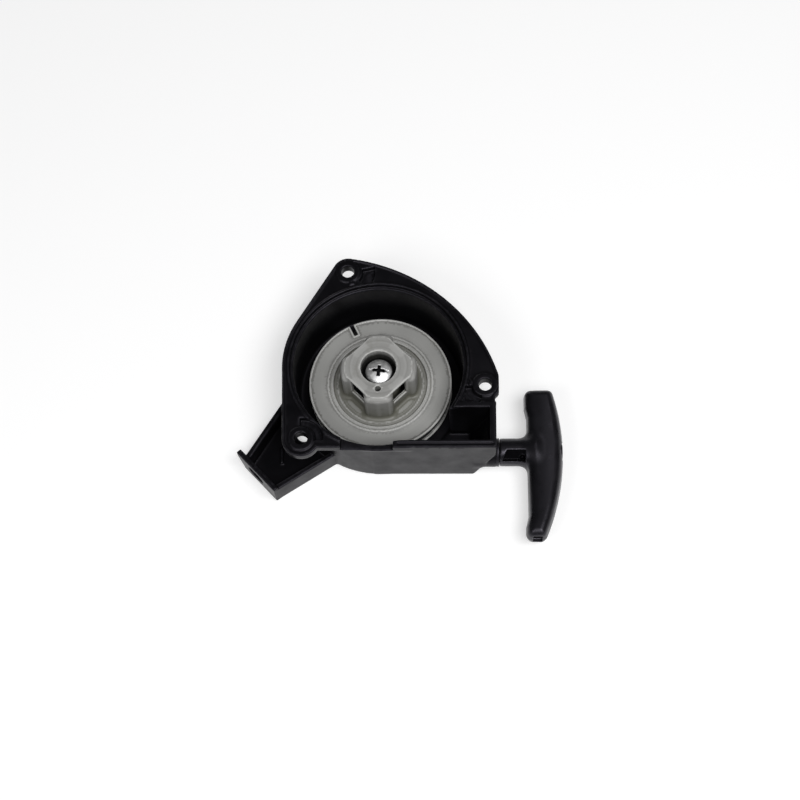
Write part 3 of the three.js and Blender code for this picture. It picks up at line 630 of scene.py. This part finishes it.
def finish(thing, edge=None, sharp=None):
    """Shades a mesh smooth, faces it outward and gives it the edge values that its material reads."""
    mark = thing.data.attributes.new("edge", "FLOAT", "POINT")
    if edge:
        mark.data.foreach_set("value", edge)
    outward(thing)
    shade(thing)
    if sharp:
        thing.data.set_sharp_from_angle(angle=math.radians(sharp))
    return thing


def turned_piece(name, profile, steps=96, about="Z", centre=(0, 0, 0)):
    """A ring turned from a closed profile of radius and height, with rounded corners."""
    rounded = []
    count = len(profile)
    for i, point in enumerate(profile):
        here = Vector(point)
        for other in (profile[i - 1], profile[(i + 1) % count]):
            way = Vector(other) - here
            rounded.append(here + way.normalized() * min(0.16, way.length * 0.3))
    points, faces = [], []
    for i in range(steps):
        a = 2 * math.pi * i / steps
        for r, h in rounded:
            if about == "Z":
                place = (r * math.cos(a), r * math.sin(a), h)
            else:
                place = (h, r * math.cos(a), r * math.sin(a))
            points.append([(p + c) * MM for p, c in zip(place, centre)])
    width = len(rounded)
    for i in range(steps):
        for j in range(width):
            k, m = (i + 1) % steps, (j + 1) % width
            faces.append((i * width + j, k * width + j, k * width + m, i * width + m))
    return finish(mesh_object(name, points, faces), sharp=50)


def outward(thing):
    work = bmesh.new()
    work.from_mesh(thing.data)
    bmesh.ops.recalc_face_normals(work, faces=work.faces)
    work.to_mesh(thing.data)
    work.free()


def box_profile(r0, r1, h0, h1):
    """A plain ring's profile, between two radii and two places along its axis."""
    return [(r0, h0), (r1, h0), (r1, h1), (r0, h1)]


def washer():
    return turned_piece("washer", box_profile(r0=2.8, r1=7.1, h0=20.4, h1=21.6))


def sleeve():
    return turned_piece("steel_sleeve", box_profile(r0=4.2, r1=5.6, h0=2.5, h1=20.1))


def spring_cup():
    inner, outer, floor_z, top, sheet = 9.3, 17.7, 2.5, 8.3, 0.5
    profile = [(inner, floor_z), (outer, floor_z), (outer, top), (outer - sheet, top),
               (outer - sheet, floor_z + sheet), (inner, floor_z + sheet)]
    return turned_piece("spring_cup", profile)


def on_rope_line(name, profile):
    """A piece turned about the rope's line, from radii and places along X."""
    return turned_piece(name, profile, about="X", centre=(0, ROPE_Y, ROPE_Z))


def guide():
    bore, barrel, rim, mouth = 2.2, 4.2, 6.1, 2.9
    start, end = 45, 51.75
    profile = [(bore, start), (barrel, start), (barrel, SIDE_X), (rim, SIDE_X), (rim, end), (mouth, end),
               (bore, 50.9)]
    return on_rope_line("outlet_bush", profile)


def plug():
    start, shoulder, end = 76.5, 78.3, 78.8
    return on_rope_line("knot_plug", [(0.02, start), (4.0, start), (4.0, shoulder), (3.4, end), (0.02, end)])


def end_washer():
    return on_rope_line("end_washer", box_profile(r0=1.7, r1=3.9, h0=71.3, h1=ROPE_END))


# ---------------------------------------------------------------- spring and rope
def strip(name, turns, inner, outer, thick, band):
    """A flat spiral spring with rounded strip edges, slightly uneven in its spacing."""
    steps = int(turns * 90)
    low, high = band
    bevel, unevenness = 0.12, 0.05
    section = [(0, low + bevel), (bevel, low), (thick - bevel, low), (thick, low + bevel),
               (thick, high - bevel), (thick - bevel, high), (bevel, high), (0, high - bevel)]
    points, faces = [], []
    for i in range(steps + 1):
        share = i / steps
        a = 2 * math.pi * turns * share
        r = inner + (outer - thick - inner) * share + unevenness * math.sin(2.3 * a)
        for out, h in section:
            points.append(((r + out) * math.cos(a) * MM, (r + out) * math.sin(a) * MM, h * MM))
    n = len(section)
    for i in range(steps):
        for j in range(n):
            faces.append((i * n + j, (i + 1) * n + j, (i + 1) * n + (j + 1) % n, i * n + (j + 1) % n))
    faces.append(tuple(range(n)))
    faces.append(tuple(steps * n + j for j in range(n)))
    return finish(mesh_object(name, points, faces), sharp=40)


def spring():
    return strip("spiral_spring", turns=5, inner=9.6, outer=16.8, thick=0.6, band=(3.4, 8.6))


def braid(name, path, r, sides=16, strands=4, lay=5.2, relief=0.085):
    """A braided rope: a tube along a path, with crossing strands standing out of it."""
    path = [Vector(p) for p in path]
    final = len(path) - 1
    tangents = [(path[min(i + 1, final)] - path[max(i - 1, 0)]).normalized() for i in range(len(path))]
    side = tangents[0].orthogonal().normalized()
    points, faces, height = [], [], []
    run = 0.0
    for i, (here, ahead) in enumerate(zip(path, tangents)):
        side = (side - ahead * side.dot(ahead)).normalized()
        up = ahead.cross(side)
        if i:
            run += (here - path[i - 1]).length
        for j in range(sides):
            a = 2 * math.pi * j / sides
            lean = 2 * math.pi * run / lay
            weave = math.cos(strands * a + lean * 2) * math.cos(strands * a - lean * 2)
            size = r * (1 - relief * (0.5 - 0.5 * weave) * 2)
            points.append((here + (side * math.cos(a) + up * math.sin(a)) * size) * MM)
            height.append(weave)
    for i in range(final):
        for j in range(sides):
            k = (j + 1) % sides
            faces.append((i * sides + j, i * sides + k, (i + 1) * sides + k, (i + 1) * sides + j))
    faces.append(tuple(range(sides)))
    faces.append(tuple(final * sides + j for j in range(sides)))
    return finish(mesh_object(name, points, faces), edge=height)


WIND_ROWS = (5.75, 8.65)
WIND_R = (23.6, 26.5, 29.4)
WIND_PLACES = ((WIND_R[0], WIND_ROWS[0]), (WIND_R[0], WIND_ROWS[1]), (WIND_R[1], WIND_ROWS[1]),
               (WIND_R[1], WIND_ROWS[0]), (WIND_R[2], WIND_ROWS[0]), (WIND_R[2], WIND_ROWS[1]))
EXIT_ANGLE = 266.4
CLIMB_START, CLIMB_END = 8, 30  # degrees of turn over which the rope rises from its knot to the drum
CROSSING = 15  # degrees over which it crosses from one turn's place to the next
KNOT_R = 20.6
GAP = 0.3
ROPE_END = 72.1
LEVEL_X = 14  # from here the straight rope slants up to the outlet


def smooth(t):
    t = min(max(t, 0), 1)
    return t * t * (3 - 2 * t)


def wind_at(run):
    """The radius and height of the wound rope, so many degrees of turn from its knot."""
    if run < CLIMB_END:
        risen = smooth((run - CLIMB_START) / (CLIMB_END - CLIMB_START))
        return KNOT_R + (WIND_R[0] - KNOT_R) * risen, WIND_ROWS[0]
    place = WIND_PLACES[0]
    for turn in range(1, len(WIND_PLACES)):
        share = smooth((run - (360 * turn + 5 - CROSSING * turn)) / CROSSING)
        if share > 0:
            last, following = WIND_PLACES[turn - 1], WIND_PLACES[turn]
            place = [a + (b - a) * share for a, b in zip(last, following)]
    return place


def wound_rope():
    """The rope's turns on the reel, from its knot to where it leaves."""
    turns = len(WIND_PLACES) - 1
    first = math.degrees((2 * ROPE_R + GAP) / KNOT_R)
    last = 360 * turns - math.degrees(GAP / WIND_R[2])
    steps = 150 * turns
    path = []
    for i in range(steps + 1):
        run = first + (last - first) * i / steps
        r, z = wind_at(run)
        x, y = polar(r, EXIT_ANGLE + run)
        path.append((x, y, z))
    return braid("rope_coil", path, ROPE_R, sides=14)


def straight_rope():
    """The rope from where it leaves the reel to the washer in the handle."""
    leave = polar(WIND_R[2], EXIT_ANGLE)
    slope = (ROPE_Y - leave[1]) / (SIDE_X - leave[0])
    steps = 420
    path = []
    for i in range(steps + 1):
        x = leave[0] + (ROPE_END - leave[0]) * i / steps
        y = leave[1] + slope * (x - leave[0]) if x < SIDE_X else ROPE_Y
        z = WIND_ROWS[1] + (ROPE_Z - WIND_ROWS[1]) * smooth((x - LEVEL_X) / (SIDE_X - LEVEL_X))
        path.append((x, y, z))
    return braid("rope_line", path, ROPE_R, sides=18, relief=0.0)


def knot(name, centre, sizes, turn=0.0):
    """A tight overhand knot: a rope wrapped over itself in a small ball."""
    steps = 240
    spread, strand = 0.55, 0.43
    path = []
    for i in range(steps + 1):
        t = 2 * math.pi * i / steps
        ring = 2 + math.cos(3 * t)
        p = (math.sin(3 * t) * 0.9, ring * math.cos(2 * t) / 3, ring * math.sin(2 * t) / 3)
        p = Vector([part * size * spread for part, size in zip(p, sizes)])
        p.rotate(Matrix.Rotation(turn, 3, "Z"))
        path.append(p + Vector(centre))
    return braid(name, path, strand * min(sizes), sides=12, lay=2.6)


def reel_end_knot():
    x, y = polar(KNOT_R, EXIT_ANGLE)
    return knot("inner_knot", (x, y, WIND_ROWS[0]), (1.28, 2.5, 1.28), math.radians(EXIT_ANGLE))


def handle_end_knot():
    return knot("outer_knot", (74.3, ROPE_Y, ROPE_Z), (1.85, 3.1, 3.1))


# ---------------------------------------------------------------- materials
class Paint:
    """A small helper that builds a node material round one Principled shader."""

    def __init__(self, name, roughness, metallic=0.0, specular=0.5, tint=(1, 1, 1, 1)):
        self.material = bpy.data.materials.new(name)
        self.material.use_nodes = True
        self.tree = self.material.node_tree
        self.shader = self.tree.nodes["Principled BSDF"]
        self.shader.inputs["Metallic"].default_value = metallic
        self.shader.inputs["Roughness"].default_value = roughness
        self.shader.inputs["Specular IOR Level"].default_value = specular
        self.shader.inputs["Specular Tint"].default_value = tint
        self.place = self.tree.nodes.new("ShaderNodeTexCoord").outputs["Object"]

    def node(self, kind, values=(), links=(), **settings):
        made = self.tree.nodes.new(kind)
        for key, value in settings.items():
            setattr(made, key, value)
        for key, value in values:
            made.inputs[key].default_value = value
        for key, source in links:
            self.tree.links.new(source, made.inputs[key])
        return made

    def noise(self, scale, detail=4.0, roughness=0.55, stretch=None):
        source = self.place
        if stretch:
            source = self.node("ShaderNodeMapping", [("Scale", stretch)], [("Vector", source)]).outputs[0]
        values = [("Scale", scale), ("Detail", detail), ("Roughness", roughness)]
        return self.node("ShaderNodeTexNoise", values, [("Vector", source)]).outputs["Fac"]

    def span(self, source, low, high, to_low, to_high):
        values = [("From Min", low), ("From Max", high), ("To Min", to_low), ("To Max", to_high)]
        return self.node("ShaderNodeMapRange", values, [("Value", source)]).outputs["Result"]

    def blend(self, share, first, second):
        made = self.node("ShaderNodeMix", data_type="RGBA")
        for key, value in ((0, share), (6, first), (7, second)):
            if isinstance(value, (tuple, float, int)):
                made.inputs[key].default_value = value
            else:
                self.tree.links.new(value, made.inputs[key])
        return made.outputs[2]

    def edge(self, low, high):
        mark = self.node("ShaderNodeAttribute", attribute_name="edge")
        return self.span(mark.outputs["Fac"], low, high, 0.0, 1.0)

    def maths(self, operation, a, b=None):
        made = self.node("ShaderNodeMath", operation=operation)
        for key, value in ((0, a), (1, b)):
            if isinstance(value, (float, int)):
                made.inputs[key].default_value = value
            elif value is not None:
                self.tree.links.new(value, made.inputs[key])
        return made.outputs[0]

    def times(self, a, b):
        return self.maths("MULTIPLY", a, b)

    def axes(self):
        return self.node("ShaderNodeSeparateXYZ", links=[(0, self.place)]).outputs

    def squares(self, a, b):
        """The sum of two squares."""
        return self.maths("ADD", self.times(a, a), self.times(b, b))

    def use(self, colour=None, roughness=None, bumps=()):
        if colour is not None:
            self.tree.links.new(colour, self.shader.inputs["Base Color"])
        if roughness is not None:
            self.tree.links.new(roughness, self.shader.inputs["Roughness"])
        normal = None
        for source, strength, distance in bumps:
            values = [("Strength", strength), ("Distance", distance)]
            bump = self.node("ShaderNodeBump", values, [("Height", source)])
            if normal is not None:
                self.tree.links.new(normal, bump.inputs["Normal"])
            normal = bump.outputs["Normal"]
        if normal is not None:
            self.tree.links.new(normal, self.shader.inputs["Normal"])
        return self.material


def grey(value, tint=(1, 1, 1)):
    return tuple(value * t for t in tint) + (1,)


def painted_pocket_shade(paint):
    """One inside the pocket of the handle's stem, painted dark and dull as shade, and nought elsewhere."""
    axis = paint.axes()
    off = [paint.maths("SUBTRACT", axis[key], centre * MM) for key, centre in (("Y", ROPE_Y), ("Z", ROPE_Z))]
    deep = paint.span(paint.squares(*off), 0.0054 ** 2, 0.0046 ** 2, 0, 1)
    return paint.times(deep, paint.span(axis["X"], 0.0638, 0.0632, 0, 1))


def moulded(name, dark, light, worn, rough, grain, tint, dust, shine, with_pocket_shade=False):
    """Injection-moulded plastic: fine spark grain, slow colour drift, paler worn edges and a little dust."""
    paint = Paint(name, rough, specular=shine, tint=(0.9, 0.86, 1.0, 1))
    drift = paint.noise(38, 3)
    fine = paint.noise(2600, 2)
    colour = paint.blend(paint.span(drift, 0.35, 0.65, 0, 1), grey(dark, tint), grey(light, tint))
    scuffs = paint.times(paint.edge(0.25, 1.3), paint.span(paint.noise(260, 5), 0.42, 0.62, 0.25, 1))
    colour = paint.blend(scuffs, colour, grey(worn, tint))
    specks = paint.span(paint.noise(900, 6, 0.7), 0.66, 0.74, 0, dust)
    colour = paint.blend(specks, colour, grey(0.09, (1, 0.98, 0.94)))
    rough_map = paint.span(paint.noise(120, 5), 0.3, 0.7, rough - 0.07, rough + 0.09)
    if with_pocket_shade:
        # painted shade: inside the stem's pocket the colour is near black and the shine is dulled
        inside = painted_pocket_shade(paint)
        colour = paint.blend(inside, colour, grey(0.0015, tint))
        pocket_shade_shine = paint.span(inside, 0, 1, shine, 0.06)
        paint.tree.links.new(pocket_shade_shine, paint.shader.inputs["Specular IOR Level"])
    waves = paint.noise(70, 2)
    return paint.use(colour, rough_map, ((fine, grain, 0.00008), (waves, 0.05, 0.0006)))


def nylon():
    """Natural nylon with painted shade: darker towards the rim and low down, and near black round the screw.
    """
    paint = Paint("natural_nylon", 0.42)
    axis = paint.axes()
    r = paint.maths("SQRT", paint.squares(axis["X"], axis["Y"]))
    z = axis["Z"]
    drift = paint.span(paint.noise(30, 4), 0.35, 0.65, 0, 1)
    across = paint.node("ShaderNodeCombineXYZ", links=[(0, r)]).outputs[0]
    rings = paint.node("ShaderNodeTexNoise", [("Scale", 900.0), ("Detail", 3.0)], [("Vector", across)])
    crease_shade = paint.node("ShaderNodeAttribute", attribute_name="edge").outputs["Fac"]
    layers = (
        # painted shade: darker towards the rim, where less light falls than on the hub's top
        (paint.span(r, 0.021, 0.0275, 0, 0.75), (0.15, 0.149, 0.142, 1)),
        (paint.span(rings.outputs["Fac"], 0.4, 0.62, 0, 0.4), (0.17, 0.168, 0.158, 1)),
        # painted shade: darker olive low down on the dish round the hub's foot, which lies in shadow
        (paint.times(paint.span(z, 0.0255, 0.0112, 0, 0.9), paint.span(r, 0.0235, 0.0165, 0, 1)),
         (0.098, 0.097, 0.074, 1)),
        (paint.span(paint.noise(150, 6, 0.65), 0.56, 0.72, 0, 0.35), (0.15, 0.143, 0.115, 1)),
        # painted highlight: convex edges are coloured paler
        (paint.edge(0.2, 1.0), (0.46, 0.46, 0.445, 1)),
        # painted shade: concave creases are coloured darker
        (paint.span(crease_shade, -0.3, -1.2, 0.0, 0.55), (0.10, 0.098, 0.08, 1)),
        # painted shade: near black on the walls of the deep recess round the screw
        (paint.times(paint.span(r, 0.0083, 0.0077, 0, 1), paint.span(z, 0.0276, 0.0235, 0, 0.95)),
         (0.012, 0.012, 0.011, 1)),
    )
    colour = paint.blend(drift, (0.30, 0.297, 0.285, 1), (0.355, 0.355, 0.345, 1))
    for share, tone in layers:
        colour = paint.blend(share, colour, tone)
    rough = paint.span(paint.noise(300, 4), 0.3, 0.7, 0.36, 0.52)
    fine, waves = paint.noise(1800, 3), paint.noise(110, 3)
    return paint.use(colour, rough, ((fine, 0.08, 0.0001), (waves, 0.08, 0.0006)))


def slot_depth(paint):
    """How far a point lies below the screw head's dome: the slot and the cross are coloured nearly black."""
    axis = paint.axes()
    drop = paint.times(paint.squares(axis["X"], axis["Y"]), 1 / (2 * DOME_R * MM))
    level = paint.maths("ADD", drop, axis["Z"])
    top = SCREW_HEAD_Z[1] * MM
    return paint.span(level, top - 0.0002, top - 0.0006, 0, 1)


def metal(name, base, stained, rough, scratch, tint=(1, 1, 1), slotted=False):
    """Plated or oiled metal with turning marks and faint stains."""
    paint = Paint(name, rough, metallic=1.0)
    stain = paint.span(paint.noise(420, 5), 0.4, 0.65, 0, 1)
    colour = paint.blend(stain, grey(base, tint), grey(stained, tint))
    if slotted:
        colour = paint.blend(slot_depth(paint), colour, (0.02, 0.02, 0.022, 1))
    rough_map = paint.span(paint.noise(700, 4), 0.3, 0.7, rough - 0.06, rough + 0.12)
    lines = paint.noise(900, 3, 0.6, (1.0, 6.0, 6.0))
    return paint.use(colour, rough_map, ((lines, scratch, 0.00006),))


# painted shade: the braid's hollows between strands are coloured darker than the strand tops
STRAND_SHADE = (0.006, 0.006, 0.006, 1)
STRAND_TOP = (0.022, 0.022, 0.023, 1)


def coiled_braid():
    """Braided nylon: paler strand tops over painted shade in the hollows, with fine fibre."""
    paint = Paint("braid_coiled", 0.85)
    # painted shade in the hollows between the strands
    colour = paint.blend(paint.edge(-0.6, 0.6), STRAND_SHADE, STRAND_TOP)
    grime = paint.span(paint.noise(180, 5), 0.5, 0.7, 0, 0.4)
    colour = paint.blend(grime, colour, (0.035, 0.032, 0.028, 1))
    fibre = paint.noise(1500, 4, 0.6)
    return paint.use(colour, paint.span(fibre, 0.3, 0.7, 0.75, 0.95), ((fibre, 0.35, 0.0002),))


def straight_braid():
    """The same braid drawn by place, along and round the rope."""
    paint = Paint("braid_straight", 0.85)
    axis = paint.axes()
    off = [paint.maths("SUBTRACT", axis[key], centre * MM) for key, centre in (("Y", ROPE_Y), ("Z", ROPE_Z))]
    around = paint.times(paint.maths("ARCTAN2", *off), 4.0)
    lean = paint.times(axis["X"], 2400.0)
    waves = [paint.maths("COSINE", paint.maths(operation, around, lean)) for operation in ("ADD", "SUBTRACT")]
    weave = paint.times(*waves)
    # painted shade in the weave's hollows, drawn by place
    colour = paint.blend(paint.span(weave, -0.7, 0.6, 0, 1), STRAND_SHADE, STRAND_TOP)
    fibre = paint.noise(1500, 4, 0.6)
    rough = paint.span(fibre, 0.3, 0.7, 0.75, 0.95)
    return paint.use(colour, rough, ((weave, 0.5, 0.0004), (fibre, 0.3, 0.0002)))


COOL = (0.96, 0.94, 1.12)
black_plastic = moulded("black_plastic", dark=0.002, light=0.0035, worn=0.014, rough=0.36, grain=0.10,
                        tint=COOL, dust=0.06, shine=0.2)
handle_plastic = moulded("handle_plastic", dark=0.004, light=0.006, worn=0.016, rough=0.31, grain=0.05,
                         tint=COOL, dust=0.03, shine=0.42, with_pocket_shade=True)
bush_plastic = moulded("bush_plastic", dark=0.004, light=0.006, worn=0.02, rough=0.4, grain=0.06,
                       tint=COOL, dust=0.05, shine=0.35)
reel_nylon = nylon()
zinc = metal("bright_zinc", base=0.95, stained=0.8, rough=0.46, scratch=0.12, slotted=True)
plated_zinc = metal("plated_zinc", base=0.5, stained=0.35, rough=0.34, scratch=0.12)
black_oxide = metal("black_oxide", base=0.05, stained=0.03, rough=0.4, scratch=0.15)
spring_steel = metal("spring_steel", base=0.32, stained=0.2, rough=0.34, scratch=0.2, tint=(0.95, 0.98, 1.05))
coil_braid = coiled_braid()
line_braid = straight_braid()

# ---------------------------------------------------------------- pieces
# a piece's maker, the CAD node it replaces, its body (none for the rope that is drawn out), slot and material
PIECES = (
    (casing, "housing", "casing", "casing", black_plastic),
    (reel, "reel", "reel", "reel", reel_nylon),
    (handle, "handle_grip", "handle", "handle", handle_plastic),
    (plug, "handle_cap", "handle", "handle", handle_plastic),
    (screw, "centre_screw", "casing", "zinc", zinc),
    (washer, "screw_washer", "casing", "zinc", black_oxide),
    (sleeve, "post_sleeve", "casing", "spring_steel", spring_steel),
    (spring_cup, "spring_case", "casing", "spring_steel", spring_steel),
    (spring, "recoil_spring", "casing", "spring_steel", spring_steel),
    (guide, "rope_guide", "casing", "guide", bush_plastic),
    (end_washer, "knot_washer", "rope_end", "zinc", plated_zinc),
    (wound_rope, "rope_wound", "reel", "rope", coil_braid),
    (reel_end_knot, "reel_knot", "reel", "rope", coil_braid),
    (handle_end_knot, "handle_knot", "rope_end", "rope", coil_braid),
    (straight_rope, "rope_run", None, "rope", line_braid),
)
for build, node, body_name, slot_name, material in PIECES:
    made = build()
    made.data.materials.clear()
    made.data.materials.append(material)
    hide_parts(node)
    if body_name:
        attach(made, body_name)
    else:
        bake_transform(made)


# ---------------------------------------------------------------- camera
TILT, ROLL, SWING = -24.19, 6.08, -6.43
CAMERA_OFFSET = Vector((-8.64, 7.64, -659.21)) * MM
CAMERA_PIVOT = Vector((0, 0, RIM_Z)) * MM
turned = Matrix.Rotation(math.radians(ROLL), 3, "Z") @ Matrix.Rotation(math.radians(TILT), 3, "X")
turned = turned @ Matrix.Rotation(math.radians(SWING), 3, "Z")
lens = bpy.data.cameras.new("camera")
lens.lens = 67.5
lens.sensor_width = 36
lens.clip_start = 0.01
camera = bpy.data.objects.new("camera", lens)
bpy.context.scene.collection.objects.link(camera)
back = turned.transposed()
camera.matrix_world = Matrix.Translation(CAMERA_PIVOT - back @ CAMERA_OFFSET) @ back.to_4x4()
bpy.context.scene.camera = camera


# ---------------------------------------------------------------- floor and light
def area_light(name, place, target, width, height, watts):
    data = bpy.data.lights.new(name, "AREA")
    data.shape = "RECTANGLE"
    data.size = width
    data.size_y = height
    data.energy = watts
    lamp = bpy.data.objects.new(name, data)
    bpy.context.scene.collection.objects.link(lamp)
    lamp.location = place
    lamp.rotation_euler = (Vector(target) - Vector(place)).to_track_quat("-Z", "Y").to_euler()


world = bpy.data.worlds.new("studio")
bpy.context.scene.world = world
world.use_nodes = True
world.node_tree.nodes["Background"].inputs["Color"].default_value = (0.95, 0.95, 1.0, 1)
world.node_tree.nodes["Background"].inputs["Strength"].default_value = 0.05
bpy.context.scene.view_settings.view_transform = "Standard"

# a lamp's name, place, target, width, height and watts, in metres
LAMPS = (
    ("softbox_above", (0.36, -0.38, 1.0), (0, 0, 0), 0.8, 0.5, 9.5),
    ("softbox_front", (-0.45, -0.6, 0.85), (0, 0, 0), 0.4, 0.4, 3.0),
    ("softbox_back", (-0.5, 0.95, 0.2), (0, 0, 0.02), 0.5, 0.2, 0.8),
    ("strip_right", (0.25, 0.40, 1.0), (0.07, -0.03, 0.016), 0.16, 0.35, 0.26),
)
for lamp in LAMPS:
    area_light(*lamp)

FLOOR_SPAN = 9.0
floor_corners = [(-FLOOR_SPAN, -FLOOR_SPAN, 0), (FLOOR_SPAN, -FLOOR_SPAN, 0), (FLOOR_SPAN, FLOOR_SPAN, 0),
                 (-FLOOR_SPAN, FLOOR_SPAN, 0)]
floor_mesh = bpy.data.meshes.new("floor")
floor_mesh.from_pydata(floor_corners, [], [(0, 1, 2, 3)])
floor = bpy.data.objects.new("floor", floor_mesh)
floor.location.z = -0.0002
bpy.context.scene.collection.objects.link(floor)
floor_paint = bpy.data.materials.new("floor_paint")
floor_paint.use_nodes = True
floor_inputs = floor_paint.node_tree.nodes["Principled BSDF"].inputs
floor_inputs["Base Color"].default_value = (0.62, 0.62, 0.62, 1)
floor_inputs["Emission Color"].default_value = (1, 1, 1, 1)
floor_inputs["Emission Strength"].default_value = 0.5
floor_inputs["Roughness"].default_value = 0.9
floor.data.materials.append(floor_paint)
